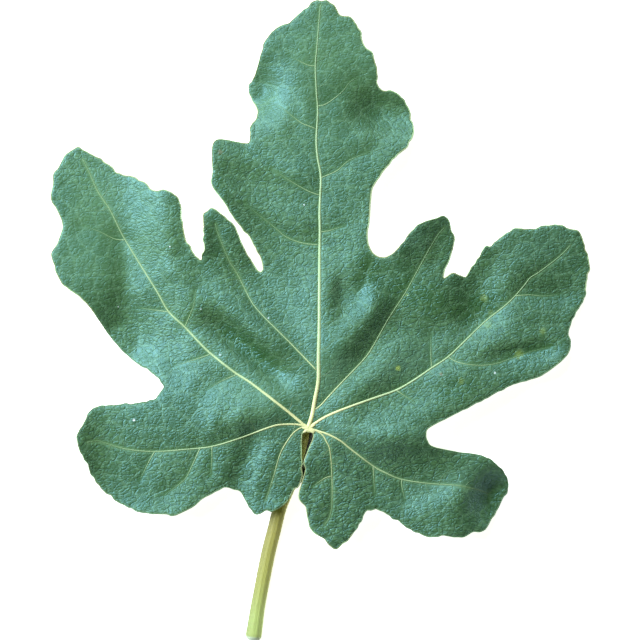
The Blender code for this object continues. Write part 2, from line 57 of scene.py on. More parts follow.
MM = 0.001
MIDDLE = (4.074, 36.195)  # of the leaf's box, where the row's frame has its origin
CURVE_STEPS = 12  # points of a smooth curve for each given one
HONEYCOMB_ROW = 0.75**0.5  # a honeycomb's rows are this share of its spacing apart
LINE_SPACING = 3.0  # between the points of a vein that distances are measured to
POINTS_AT_ONCE = 4000
POLE_REACH = 0.5  # how far a tube's end stands out, in radii
FAR_EDGE = 1.001  # how far inside a grid's last row and column a point is kept
WELD = 1e-5  # points of a sheet nearer than this are one
SMALLEST_AREA = 1e-12
LOOKS_DOWN = (0.2, 0.6)  # how steeply down a face looks where the lower hairs begin and are full

# The margin's small waves: each one's size and its count round the leaf; then the counts of their swells,
# and a swell's middle, size and least value
MARGIN_WAVES = ((0.08, 347), (0.11, 223), (0.13, 139))
MARGIN_SWELLS = (17, 5)
SWELL = (0.6, 0.4, 0.1)

# The slot between the basal lobes, where the margin is smooth: its middle, how much shorter it counts
# along than across, and how far from it the waves begin and have grown
SLOT_MIDDLE = (-1.5, -12.0)
SLOT_SQUEEZE = 0.6
SLOT_REACH = (5.0, 11.0)

OUTLINE = {
    "centre lobe, right side": (
        (4.7, 142.8), (7.3, 142.3), (10.7, 138.3), (12.3, 137.2), (14.0, 137.3), (16.8, 133.7),
        (18.8, 127.5), (20.7, 126.0), (21.9, 124.0), (23.1, 118.0), (22.9, 115.3), (24.7, 112.7),
        (27.7, 112.8), (32.3, 109.3), (34.5, 103.0), (35.1, 99.3), (33.3, 94.7), (27.7, 89.3),
        (22.3, 82.0), (21.0, 78.3), (20.3, 69.3), (19.7, 65.3), (20.0, 61.7), (21.5, 58.7),
        (24.0, 57.1), (26.7, 57.6),
    ),
    "right spur": (
        (29.3, 59.3), (34.7, 66.0), (37.3, 68.3), (43.0, 70.3), (45.3, 70.9), (47.0, 69.2),
        (47.7, 66.0), (48.8, 63.2), (47.0, 56.3), (45.3, 52.7), (45.3, 50.2),
    ),
    "right lobe": (
        (48.3, 51.9), (51.3, 50.7), (53.3, 51.7), (59.0, 60.3), (61.2, 61.3), (67.3, 66.0),
        (70.0, 66.7), (76.0, 66.7), (78.3, 67.7), (84.3, 67.9), (86.7, 66.8), (89.3, 66.2),
        (91.3, 64.2), (92.3, 60.0), (93.8, 55.3), (92.5, 47.0), (92.2, 43.3), (90.3, 40.7),
        (87.2, 34.3), (86.8, 31.7), (87.5, 29.0), (87.0, 26.0), (84.7, 23.0), (77.3, 17.7),
        (68.0, 14.8), (57.3, 9.3), (46.3, 3.8), (40.2, 0.5), (39.2, -1.8),
    ),
    "right ear": (
        (39.8, -4.2), (41.7, -6.0), (50.0, -7.8), (58.0, -9.0), (63.7, -12.7), (66.8, -18.5),
        (64.2, -24.7), (60.3, -31.5), (58.0, -34.1), (55.0, -34.2), (51.0, -36.0), (45.0, -35.3),
        (42.0, -36.0), (35.7, -34.2), (27.3, -28.8), (23.3, -26.8), (20.7, -26.7),
    ),
    "right basal lobe": (
        (19.0, -28.0), (15.0, -34.8), (10.5, -39.2), (9.2, -40.0), (7.3, -38.8), (5.3, -36.5),
        (1.5, -34.0), (0.3, -31.3), (-0.6, -26.2), (-2.7, -23.5), (-2.9, -21.3), (-2.2, -18.7),
        (-0.7, -13.5), (-1.3, -11.3), (-0.3, -8.3), (1.9, -2.7), (1.3, -1.0), (0.0, -0.5),
    ),
    "left basal lobe": (
        (-1.6, -0.8), (-2.2, -3.0), (-2.2, -9.7), (-1.9, -11.5), (-2.3, -13.0), (-1.9, -15.5),
        (-3.3, -19.2), (-4.8, -20.0), (-7.2, -24.2), (-11.8, -27.3), (-13.7, -27.0),
        (-17.0, -28.3), (-18.7, -27.2), (-21.2, -22.7), (-22.7, -20.7), (-27.0, -19.3),
    ),
    "left ear": (
        (-29.3, -20.0), (-35.3, -23.2), (-38.7, -26.0), (-45.0, -28.8), (-47.3, -28.2),
        (-55.3, -27.7), (-63.5, -24.0), (-70.3, -18.0), (-73.5, -11.7), (-76.3, -6.2),
        (-76.9, -3.3), (-76.2, -0.5), (-74.7, 1.8), (-72.3, 6.3), (-69.3, 7.5), (-65.0, 7.9),
        (-55.7, 8.7), (-52.3, 9.5), (-49.7, 11.2), (-48.1, 13.7),
    ),
    "left lobe": (
        (-49.3, 16.3), (-51.8, 18.8), (-58.7, 23.3), (-65.2, 30.0), (-71.7, 39.3), (-75.0, 43.2),
        (-79.3, 46.5), (-82.5, 49.3), (-85.0, 56.0), (-85.4, 58.8), (-83.7, 61.5), (-81.7, 67.7),
        (-83.7, 73.3), (-85.2, 75.5), (-85.6, 78.0), (-84.9, 81.7), (-84.8, 85.0), (-83.2, 87.0),
        (-80.8, 91.2), (-77.2, 93.7), (-75.0, 93.0), (-68.7, 89.5), (-66.0, 87.7), (-63.7, 85.3),
        (-58.7, 84.0), (-54.0, 81.8), (-52.7, 80.0), (-50.7, 79.2), (-48.0, 79.6), (-43.2, 76.7),
        (-42.0, 69.3), (-41.3, 65.0), (-39.8, 61.2), (-36.0, 56.2),
    ),
    "left spur": (
        (-34.7, 59.0), (-34.5, 61.7), (-34.7, 66.3), (-34.6, 71.0), (-33.3, 72.9), (-32.0, 73.5),
        (-30.0, 72.3), (-24.7, 67.7), (-21.7, 60.8), (-17.8, 54.2), (-16.0, 52.2),
    ),
    "centre lobe, left side": (
        (-14.8, 53.7), (-15.5, 56.5), (-19.2, 63.7), (-23.8, 69.2), (-28.0, 75.8), (-31.9, 81.2),
        (-31.7, 85.8), (-31.9, 93.3), (-30.8, 96.0), (-28.0, 96.4), (-21.7, 95.2), (-19.7, 95.5),
        (-19.1, 98.0), (-19.2, 100.7), (-16.6, 105.0), (-18.8, 110.3), (-19.7, 112.8),
        (-19.7, 115.0), (-18.0, 117.0), (-15.2, 126.3), (-14.5, 128.8), (-11.0, 133.2),
        (-6.5, 135.3), (-4.0, 137.3), (1.7, 142.2),
    ),
}

MARGIN_POINTS = np.array([point for stretch in OUTLINE.values() for point in stretch])


@dataclass(frozen=True)
class Vein:
    """A main vein: its path in plan, its rib's radii below and its cord's radii above, at both ends.

    valley is the depth of the blade's valley over it at both ends, and the valley's width.
    """

    path: tuple
    rib: tuple
    cord: tuple
    valley: tuple
    tip: tuple = ()


VEINS = {
    "midrib": Vein((
        (0.0, 0.3), (1.3, 4.3), (2.3, 9.7), (3.5, 16.3), (3.6, 24.7), (3.8, 33.0), (3.9, 56.3),
        (4.0, 65.7), (3.9, 73.0), (4.3, 83.7), (3.2, 90.7), (2.8, 96.3), (3.2, 103.7),
        (3.2, 107.7), (2.8, 113.0), (2.5, 121.0), (3.0, 127.0),
    ), (1.35, 0.4), (0.82, 0.17), (0.7, 0.2, 7.0), ((3.2, 129.7), (3.7, 136.0), (4.2, 141.3))),
    "right upper": Vein((
        (0.0, 0.3), (2.9, 2.3), (6.5, 4.4), (12.7, 7.0), (21.9, 10.3), (29.3, 12.9), (35.3, 16.3),
        (41.2, 20.3), (46.6, 23.9), (51.8, 28.8), (59.0, 35.7), (67.0, 42.2), (72.0, 47.7),
        (74.2, 50.5), (77.1, 52.3), (84.0, 57.6),
    ), (1.15, 0.4), (0.50, 0.14), (1.0, 0.8, 6.0), ((87.6, 61.3),)),
    "left upper": Vein((
        (0.0, 0.3), (-6.0, 5.3), (-12.0, 10.0), (-19.3, 15.6), (-24.3, 18.8), (-32.3, 25.1),
        (-36.8, 29.5), (-41.0, 34.0), (-46.4, 39.1), (-50.2, 45.7), (-56.8, 56.3),
        (-61.9, 64.8), (-65.9, 72.9), (-70.0, 79.1), (-72.7, 85.2),
    ), (1.15, 0.4), (0.53, 0.14), (1.0, 0.3, 6.5), ((-75.1, 89.9),)),
    "left middle": Vein((
        (2.7, 19.8), (-2.7, 25.4), (-7.4, 30.2), (-13.6, 36.3), (-17.0, 40.0), (-19.3, 43.3),
        (-23.3, 51.3), (-26.0, 55.7), (-28.0, 60.3), (-30.2, 66.0),
    ), (0.75, 0.38), (0.25, 0.10), (0.8, 0.8, 5.5), ((-30.7, 68.3),)),
    "right middle": Vein((
        (1.9, 6.3), (4.0, 7.7), (7.0, 11.0), (11.4, 15.7), (18.3, 22.9), (21.3, 27.0),
        (26.9, 36.9), (32.3, 45.2), (37.3, 54.3), (41.0, 61.0), (43.5, 65.0),
    ), (0.85, 0.38), (0.22, 0.10), (1.4, 0.4, 6.5), ((45.3, 67.0),)),
    "left lower": Vein((
        (0.0, 0.3), (-3.3, 1.5), (-9.3, 1.5), (-12.7, 0.7), (-16.0, -0.5), (-23.3, -3.2),
        (-32.0, -5.8), (-41.0, -6.8), (-51.0, -7.5), (-60.0, -6.8), (-67.3, -4.8), (-70.0, -4.0),
    ), (0.95, 0.4), (0.35, 0.13), (1.4, 0.2, 7.0), ((-73.5, -4.4),)),
    "right lower": Vein((
        (0.0, 0.3), (4.0, -0.8), (7.3, -2.0), (11.0, -4.0), (14.7, -7.0), (21.7, -12.3),
        (25.7, -14.5), (31.3, -16.8), (40.7, -18.2), (49.7, -18.8), (56.7, -20.3),
    ), (0.95, 0.4), (0.35, 0.13), (1.4, 0.6, 7.0), ((60.0, -21.6),)),
    "left basal": Vein((
        (-1.4, 0.9), (-3.7, -0.3), (-5.7, -2.3), (-9.0, -7.7), (-11.3, -15.3), (-13.4, -22.0),
    ), (0.65, 0.38), (0.22, 0.1), (0.6, 0.6, 6.0), ((-14.0, -23.7),)),
    "right basal": Vein((
        (1.6, 0.0), (4.7, -1.8), (6.2, -4.3), (7.3, -7.0), (8.0, -15.3), (8.0, -25.3), (7.0, -30.0),
    ), (0.7, 0.38), (0.22, 0.1), (0.6, 0.8, 6.5), ((5.7, -31.6),)),
}

SIDE_VEINS = {
    "midrib, right, top": ((3.2, 107.7), (6.0, 108.3), (11.3, 112.3), (14.0, 115.7), (16.7, 117.0)),
    "midrib, right, middle": ((4.3, 83.7), (6.7, 84.7), (10.0, 86.3), (14.0, 89.7), (20.7, 92.3)),
    "midrib, right, low": ((4.0, 65.7), (6.7, 66.0), (12.3, 67.7)),
    "midrib, left, top": ((2.5, 121.0), (0.0, 121.3), (-5.7, 124.0)),
    "midrib, left, high": ((2.7, 100.0), (0.3, 101.0), (-2.7, 102.3), (-9.7, 108.0)),
    "midrib, left, middle": ((4.0, 77.9), (0.7, 79.0), (-4.3, 81.7), (-12.0, 86.5)),
    "midrib, left, low": ((3.7, 61.3), (-2.0, 62.0), (-7.4, 64.1), (-11.5, 67.5), (-21.0, 75.0)),
    "left lobe, outer, high": ((-60.7, 63.0), (-64.3, 63.3), (-69.3, 65.7), (-74.3, 67.5)),
    "left lobe, outer, low": ((-46.3, 39.0), (-50.0, 39.5), (-56.0, 40.3)),
    "left lobe, inner": ((-41.0, 34.0), (-39.3, 38.0), (-38.0, 41.3), (-37.3, 46.3)),
    "left lobe, base, outer": ((-32.3, 25.0), (-36.0, 23.7), (-44.3, 21.0)),
    "left lobe, base, inner": ((-23.3, 18.3), (-28.7, 16.0), (-33.3, 13.3)),
    "right lobe, base": ((29.7, 12.8), (32.3, 11.0), (35.7, 9.0)),
    "right lobe, inner": ((41.2, 20.3), (41.0, 24.7), (41.0, 31.0)),
    "right lobe, long": (
        (46.7, 24.0), (49.3, 22.5), (52.3, 21.7), (57.3, 21.2), (62.3, 21.7), (67.3, 23.3),
        (74.0, 25.7), (80.7, 27.3),
    ),
    "right lobe, crease": ((69.2, 44.4), (74.0, 44.7), (79.0, 44.3), (84.0, 45.0)),
    "left ear, inner": ((-32.0, -5.8), (-32.0, -10.3), (-32.3, -15.3)),
    "left ear, middle": (
        (-36.0, -6.5), (-37.7, -10.3), (-39.3, -13.7), (-41.3, -17.0), (-47.7, -22.0),
    ),
    "left ear, outer": ((-51.0, -7.5), (-52.7, -10.3), (-56.0, -17.0)),
    "right ear, inner": ((21.7, -12.3), (22.0, -17.0), (22.3, -22.0)),
    "right ear, outer": ((31.3, -16.8), (31.3, -19.0), (32.5, -24.0)),
    "right basal lobe": ((8.0, -15.7), (5.7, -16.3), (1.8, -19.0)),
}

# Each fold of the blade: where its line starts and ends, its height (a hollow is below zero), its width
FOLDS = (
    ((-52, 102), (-45, 58), 4.8, 8.5),
    ((-45, 56), (-36, 37), 2.4, 6.0),
    ((-63, 66), (-60, 30), -2.2, 4.6),
    ((-33, 47), (-6, 24), 2.4, 5.0),
    ((-32, 36), (-6, 15), -3.0, 4.5),
    ((-8, 5), (-33, 8), 2.4, 6.5),
    ((-20, 2), (-34, 0), 1.4, 5.0),
    ((-34, -32), (-62, -32), 2.8, 7.0),
    ((-82, 12), (-78, -16), 4.6, 8.0),
    ((-17, -1), (-25, -24), -2.0, 4.6),
    ((-18, -32), (-6, -28), 1.8, 5.0),
    ((-37, 72), (-35, 58), 2.4, 4.0),
    ((7, 16), (5, 54), 2.6, 8.0),
    ((-40, 100), (-25, 54), 5.0, 10.5),
    ((-34, 94), (2, 82), 1.3, 4.0),
    ((-30, 80), (2, 66), 1.3, 4.0),
    ((-6, 98), (0, 132), 1.0, 9.0),
    ((15, 107), (42, 104), -5.4, 8.0),
    ((9, 45), (20, 45), -2.0, 6.0),
    ((11, 25), (25, 46), 2.8, 5.5),
    ((9, 4), (33, 31), 1.2, 5.5),
    ((25, 60), (46, 78), 4.0, 8.0),
    ((60, 58), (53, 34), -3.0, 8.0),
    ((94, 62), (94, 24), -3.0, 22.0),
    ((20, -6), (62, 15), 1.6, 7.0),
    ((68, 45), (94, 44), -1.0, 4.0),
    ((62, 25), (82, 27), -1.2, 4.0),
    ((14, -2), (48, -5), 2.0, 5.0),
    ((5, -6), (14, 2), 0.8, 4.6),
    ((40, -42), (67, -8), 2.2, 8.0),
    ((3, -20), (8, -46), 0.8, 6.5),
)

# Low creases that only the finer blade has, in the same order: none is over 1.1 mm high
CREASES = (
    ((16, 61), (16, 41), 1.0, 4.5),
    ((-12, 120), (-12, 107), 0.9, 3.5),
    ((-4, 114), (-4, 96), -0.6, 3.5),
    ((18, 110), (19, 94), 1.0, 5.0),
    ((-47, 32), (-43, 14), -1.0, 5.0),
    ((26, 33), (50, 32), -1.1, 5.5),
    ((50, 33), (66, 40), -0.9, 4.5),
    ((32, -31), (60, -18), 1.0, 4.5),
    ((-27, 11), (-27, -4), -0.9, 4.5),
    ((-64, 61), (-64, 45), 0.6, 3.2),
    ((-56, 63), (-56, 48), -0.6, 3.2),
    ((-47, 62), (-46, 50), 0.8, 3.2),
    ((64, 54), (89, 56), 0.8, 4.5),
    ((57, 27), (85, 31), 0.6, 3.0),
    ((40, 17), (56, 20), 0.8, 4.0),
    ((-34, 31), (-9, 11), 0.8, 3.5),
    ((-31, 37), (-6, 17), -0.6, 3.5),
    ((39, 64), (39, 56), 0.7, 3.0),
)

# Where the margin comes down to the surface: the place, and how far round it the blade is drawn down
RESTS = (((-62, 29), 13.0), ((64, -23), 9.0), ((-18, 113), 8.5))

# Where the blade's skin is smoother: the place, how far round it, and by what share
CALM = (((4, 118), 30.0, 0.6), ((-70, 64), 24.0, 0.65), ((-14, 14), 13.0, 0.5), ((8, 22), 12.0, 0.4))

# Painted highlights on the upper face, a paler blue-green: a patch's line from start to end, its strength,
# its width
PAINTED_HIGHLIGHTS = (
    ((-20, 4), (32, -8), 0.4, 12.0),
    ((18, 20), (60, 30), 0.4, 7.0),
    ((-13, 51), (1, 31), 0.7, 2.6),
    ((11, 57), (11, 41), 0.5, 2.8),
    ((12, 26), (5, 11), 0.8, 3.4),
    ((14, 17), (39, 24), 0.6, 3.8),
    ((6, 0), (15, 0), 0.7, 4.0),
    ((29, -26), (58, -13), 0.6, 3.8),
    ((66, 59), (88, 64), 0.5, 4.6),
    ((33, 60), (37, 67), 0.6, 2.8),
    ((-32, 26), (-20, 18), 0.5, 3.6),
)

# Patches of painted shade on the upper face, a deeper green where it is also smoother, in the same order
PAINTED_SHADE_PATCHES = (
    ((19, 60), (22, 44), 0.8, 4.5),
    ((28, 49), (47, 40), 0.9, 5.5),
    ((48, 37), (65, 46), 0.8, 4.0),
    ((-29, 34), (-7, 17), 1.0, 2.8),
    ((-24, 94), (-7, 87), 0.5, 2.8),
    ((-32, 87), (-27, 76), 0.6, 2.6),
    ((43, 12), (57, 16), 0.6, 3.2),
    ((64, 22), (84, 28), 0.6, 2.4),
    ((64, -20), (58, -30), 0.7, 2.6),
)

# The stalk's centre line, with its height, and its radius
STALK = (
    (0.0, 0.9, 7.0, 1.5), (-0.5, -2.3, 6.6, 2.0), (-1.8, -6.8, 5.6, 2.1), (-3.4, -11.5, 4.6, 2.15),
    (-6.1, -18.5, 3.7, 2.2), (-9.3, -26.0, 3.0, 2.3), (-11.3, -33.7, 2.53, 2.35),
    (-13.0, -40.3, 2.43, 2.4), (-14.4, -47.0, 2.42, 2.4), (-15.7, -53.7, 2.42, 2.4),
    (-16.9, -60.3, 2.48, 2.45), (-17.8, -66.4, 2.65, 2.62), (-18.2, -69.2, 2.73, 2.7),
    (-18.3, -70.1, 2.73, 2.35),
)


class Slot(Enum):
    """The record's material slots."""

    BLADE = "blade_green"
    RIB = "rib_yellow_green"


def spline_points(points: Any, closed: bool) -> Array:
    """Many points along a smooth curve through the given ones: a cubic between each two of them.

    Args:
        points: the given points, in any number of coordinates.
        closed: whether the curve returns to its start.

    Returns:
        The curve's points, with the last given point or the start again at the end.
    """
    given = np.asarray(points, float)
    if closed:
        first, second, third, fourth = (np.roll(given, shift, axis=0) for shift in (1, 0, -1, -2))
    else:
        ends = np.vstack([2 * given[0] - given[1], given, 2 * given[-1] - given[-2]])
        first, second, third, fourth = ends[:-3], ends[1:-2], ends[2:-1], ends[3:]
    t = np.linspace(0, 1, CURVE_STEPS, endpoint=False)[:, None, None]
    straight = 2 * second + (third - first) * t
    square = (2 * first - 5 * second + 4 * third - fourth) * t**2
    cube = (3 * second - first - 3 * third + fourth) * t**3
    curve = (0.5 * (straight + square + cube)).transpose(1, 0, 2).reshape(-1, given.shape[1])
    return np.vstack([curve, given[:1] if closed else given[-1:]])


def spaced(points: Any, spacing: float, closed: bool = False) -> Array:
    """Points at an even spacing along the smooth curve through the given ones.

    Args:
        points: the given points.
        spacing: the distance between two of the new ones, about.
        closed: whether the curve returns to its start, which isn't repeated then.

    Returns:
        The evenly spaced points.
    """
    curve = spline_points(points, closed)
    lengths = np.linalg.norm(np.diff(curve, axis=0), axis=1)
    travelled = np.concatenate([[0.0], np.cumsum(lengths)])
    count = max(3, round(travelled[-1] / spacing))
    places = np.linspace(0, travelled[-1], count + 1)
    if closed:
        places = places[:-1]
    return np.stack([np.interp(places, travelled, axis) for axis in curve.T], axis=1)


def unit(vectors: Array) -> Array:
    """The vectors, each made one long."""
    return vectors / np.linalg.norm(vectors, axis=-1, keepdims=True)


def bell(distance: Array, width: float) -> Array:
    """1 where the distance is 0, falling off as a Gaussian bell of that width."""
    return np.exp(-((distance / width) ** 2))


def away_from(points: Array, place: Pair) -> Array:
    """Each point's distance to one place in plan."""
    return np.linalg.norm(points - np.array(place), axis=1)


def smooth_step(value: Array, low: float, high: float) -> Array:
    """0 below low, 1 above high, and smooth between."""
    t = np.clip((value - low) / (high - low), 0, 1)
    return t * t * (3 - 2 * t)


@dataclass
class Nearness:
    """How points lie to a line: distance, length along it to the nearest place, share, and side."""

    distance: Array
    along: Array
    share: Array
    side: Array


def near_line(points: Array, line: Array) -> Nearness:
    """How each point lies to a line of points, found segment by segment for all points together.

    Args:
        points: the points in plan.
        line: the line's points.

    Returns:
        Each point's distance to the line and the place on the line that is nearest to it.
    """
    best = np.full(len(points), np.inf)
    along, side = np.zeros(len(points)), np.ones(len(points))
    travelled = 0.0
    for start, end in zip(line[:-1], line[1:]):
        step = end - start
        length = np.hypot(*step)
        from_start = points - start
        t = np.clip(from_start @ step / length**2, 0, 1)
        distance = np.linalg.norm(from_start - t[:, None] * step, axis=1)
        closer = distance < best
        best[closer] = distance[closer]
        along[closer] = travelled + t[closer] * length
        turn = step[0] * from_start[closer, 1] - step[1] * from_start[closer, 0]
        side[closer] = np.where(turn < 0, -1.0, 1.0)
        travelled += length
    return Nearness(best, along, along / travelled, side)


def inside(points: Array, outline: Array) -> Array:
    """Which points lie inside a closed outline, by the crossings of a ray to one side.

    Args:
        points: the points in plan.
        outline: the outline's points in order.

    Returns:
        True for each point inside.
    """
    result = np.zeros(len(points), bool)
    x, y = points.T
    for (x0, y0), (x1, y1) in zip(outline, np.roll(outline, -1, axis=0)):
        if y0 != y1:
            crosses = (y0 > y) != (y1 > y)
            result ^= crosses & (x < x0 + (y - y0) * (x1 - x0) / (y1 - y0))
    return result


def nearest_gap(points: Array, others: Array) -> Array:
    """Each point's distance to the nearest of the others, worked out for some points at once.

    Args:
        points: the points in plan.
        others: the others.

    Returns:
        The distance at each point.
    """
    parts = [
        np.sqrt(((points[start:start + POINTS_AT_ONCE, None] - others[None]) ** 2).sum(2).min(1))
        for start in range(0, len(points), POINTS_AT_ONCE)
    ]
    return np.concatenate(parts)


def wavy_margin(spacing: float) -> Array:
    """The margin in plan: the smooth outline, moved in and out by small uneven waves.

    Three sines of the length travelled are added, and their size swells and fades along the margin.
    Beside the stalk, where the two basal lobes nearly touch, the margin is left smooth.

    Args:
        spacing: the distance between two of its points, about.

    Returns:
        The points, clockwise as seen from above.
    """
    plan = spaced(MARGIN_POINTS, spacing, closed=True)
    ahead = np.roll(plan, -1, axis=0) - np.roll(plan, 1, axis=0)
    across = unit(np.column_stack([ahead[:, 1], -ahead[:, 0]]))
    turn = np.linspace(0, 2 * np.pi, len(plan), endpoint=False)
    waves = sum(size * np.sin(count * turn + count) for size, count in MARGIN_WAVES)
    middle, size, least = SWELL
    swell = np.clip(middle + sum(size * np.sin(count * turn + 1) for count in MARGIN_SWELLS), least, None)
    x, y = (plan - np.array(SLOT_MIDDLE)).T
    calm = smooth_step(np.hypot(x, SLOT_SQUEEZE * y), *SLOT_REACH)
    return plan + across * (waves * swell * calm)[:, None]


@dataclass
class Honeycomb:
    """A loose honeycomb of cells: seeds on a honeycomb, each moved at random by a share of its size.

    Attributes:
        size: the distance between two seeds, in millimetres.
        jitter: how far a seed may move, as a share of the size.
        seed: the random seed.
        low: the corner that the first row and column start from.
        shape: rows and columns of the table of moves, which repeats beyond it.
    """

    size: float
    jitter: float
    seed: int
    low: Array = field(default_factory=lambda: np.zeros(2))
    shape: tuple[int, int] = (64, 64)

    def borders(self, points: Array) -> Array:
        """How much farther the second nearest seed is than the nearest: 0 on the border of two cells.

        Args:
            points: the points in plan.

        Returns:
            The difference of the two distances at each point.
        """
        random = np.random.default_rng(self.seed)
        moves = random.uniform(-1, 1, (self.shape[0] * self.shape[1], 2))
        moves = moves.reshape(*self.shape, 2) * self.size * self.jitter
        local = points - self.low
        row = np.rint(local[:, 1] / (self.size * HONEYCOMB_ROW)).astype(int)
        first, second = np.full(len(points), np.inf), np.full(len(points), np.inf)
        for down in range(-2, 3):
            rows = row + down
            shift = (rows % 2) * self.size / 2
            column = np.rint((local[:, 0] - shift) / self.size).astype(int)
            for across in range(-2, 3):
                columns = column + across
                move = moves[rows % self.shape[0], columns % self.shape[1]]
                x = columns * self.size + shift + move[:, 0] - local[:, 0]
                y = rows * self.size * HONEYCOMB_ROW + move[:, 1] - local[:, 1]
                away = np.hypot(x, y)
                second = np.minimum(second, np.maximum(first, away))
                first = np.minimum(first, away)
        return second - first


@dataclass
class BladeForm:
    """The blade's shape in plan and height, by the formula of its solid with two finer touches.

    A low crown falls to the lobes, a valley follows each main vein, folds are added one by one, the
    blade is drawn down where it rests, and its lowest part is limited softly to its own thickness.
    Its raised blocks are lower here than in the solid, and the low creases are only here.
    The heights are kept on a fine grid, and read from it by the pieces that lie on the blade.
    crown_reach holds how far the crown reaches to the sides, to the tip and to the base.
    """

    thickness: float = 0.75
    rest_depth: float = -0.3
    soft_floor: float = 6.0
    crown_middle: float = 6.0
    crown_reach: tuple[float, float, float] = (59.0, 93.0, 32.0)
    crown_foot: float = 5.0
    crown_rise: float = 7.0
    vein_floor: float = 0.8
    valley_blend: int = 6
    groove: float = 0.35
    groove_width: float = 3.2
    block_size: float = 6.5
    block_jitter: float = 0.34
    block_seed: int = 7
    block_rise: float = 0.10
    block_rise_at_base: float = 0.34
    block_edge: float = 1.7
    base: Pair = (-2.0, -20.0)
    base_reach: float = 30.0
    pitch: float = 0.5
    blocks: Honeycomb = field(init=False)
    low: Array = field(init=False)
    heights: Array = field(init=False)

    def __post_init__(self) -> None:
        """Lays out the raised blocks and works out the grid of heights."""
        size = self.block_size
        low, high = MARGIN_POINTS.min(axis=0) - size, MARGIN_POINTS.max(axis=0) + size
        rows = len(np.arange(low[1], high[1], size * HONEYCOMB_ROW))
        columns = len(np.arange(low[0], high[0], size))
        self.blocks = Honeycomb(size, self.block_jitter, self.block_seed, low, (rows, columns))
        self.low = low
        x, y = (np.arange(start, end, self.pitch) for start, end in zip(low, high))
        points = np.stack(np.meshgrid(x, y), axis=2).reshape(-1, 2)
        self.heights = self.formula(points).reshape(len(y), len(x))

    def crown(self, points: Array) -> Array:
        """A bell that reaches far to the tip and little to the base."""
        side, tip, base = self.crown_reach
        reach = np.where(points[:, 1] > self.crown_middle, tip, base)
        away = np.hypot(points[:, 0] / side, (points[:, 1] - self.crown_middle) / reach)
        return self.crown_foot + self.crown_rise * bell(away, 1.0)

    def fold(self, points: Array, start: tuple, end: tuple, width: float) -> Array:
        """A fold of height 1: flat-topped along its line, and a bell across it.

        Args:
            points: the points in plan.
            start: where its line starts.
            end: where its line ends.
            width: how far it reaches across the line.

        Returns:
            1 on the line's middle, falling off across it and towards its two ends.
        """
        start, end = np.array(start, float), np.array(end, float)
        half = np.linalg.norm(end - start) / 2
        ahead = (end - start) / (2 * half)
        from_middle = points - (start + end) / 2
        across = from_middle @ np.array([-ahead[1], ahead[0]])
        return np.exp(-((from_middle @ ahead / half) ** 4) - (across / width) ** 2)

    def patches(self, points: Array, lines: tuple) -> Array:
        """The sum of soft patches along lines, each with its strength, at most 1."""
        total = sum(share * self.fold(points, start, end, width) for start, end, share, width in lines)
        return np.minimum(total, 1.0)

    def at_base(self, points: Array) -> Array:
        """1 at the blade's base, where its relief is strongest, falling off round it."""
        return bell(away_from(points, self.base), self.base_reach)

    def formula(self, points: Array) -> Array:
        """The blade's height before the finest relief: crown, valleys, grooves, blocks, folds and rests.

        Args:
            points: the points in plan.

        Returns:
            The height of the upper face over each point.
        """
        valleys = np.zeros(len(points))
        to_rib, to_side = np.full((2, len(points)), np.inf)
        for vein in VEINS.values():
            near = near_line(points, spaced(vein.path, LINE_SPACING))
            start, end, width = vein.valley
            depth = start + (end - start) * near.share
            valley = depth * np.exp(-np.hypot(near.distance, self.vein_floor) / width)
            valleys += valley**self.valley_blend
            to_rib = np.minimum(to_rib, near.distance)
        for path in SIDE_VEINS.values():
            to_side = np.minimum(to_side, near_line(points, spaced(path, LINE_SPACING)).distance)
        to_rib = np.minimum(to_rib, to_side)
        block = 1 - bell(self.blocks.borders(points), self.block_edge)
        rise = self.block_rise + self.block_rise_at_base * self.at_base(points)
        height = self.crown(points) - valleys ** (1 / self.valley_blend)
        height -= self.groove * bell(to_side, self.groove_width)
        height += rise * block * (1 - bell(to_rib, self.block_size))
        for start, end, tall, width in FOLDS + CREASES:
            height += tall * self.fold(points, start, end, width)
        for place, reach in RESTS:
            height += bell(away_from(points, place), reach) * (self.rest_depth - height)
        above = (height - self.thickness) * self.soft_floor
        return self.thickness + np.logaddexp(0, above) / self.soft_floor

    def read(self, grid: Array, points: Array) -> Array:
        """A grid's value at each point, linear between its four nearest corners.

        Args:
            grid: values laid out as the grid of heights.
            points: the points in plan.

        Returns:
            The value at each point.
        """
        place = np.clip((points - self.low) / self.pitch, 0, np.array(grid.shape[::-1]) - FAR_EDGE)
        corner = place.astype(int)
        (column, row), (u, v) = corner.T, (place - corner).T
        near = grid[row, column] * (1 - u) + grid[row, column + 1] * u
        far = grid[row + 1, column] * (1 - u) + grid[row + 1, column + 1] * u
        return near * (1 - v) + far * v

    def top(self, points: Array) -> Array:
        """Height of the upper face over each point."""
        return self.read(self.heights, points)

    def steepness(self, points: Array) -> Array:
        """How much longer the blade's plumb line is than its thickness: the root of 1 + slope squared."""
        down, across = np.gradient(self.heights, self.pitch)
        return self.read(np.sqrt(1 + down**2 + across**2), points)


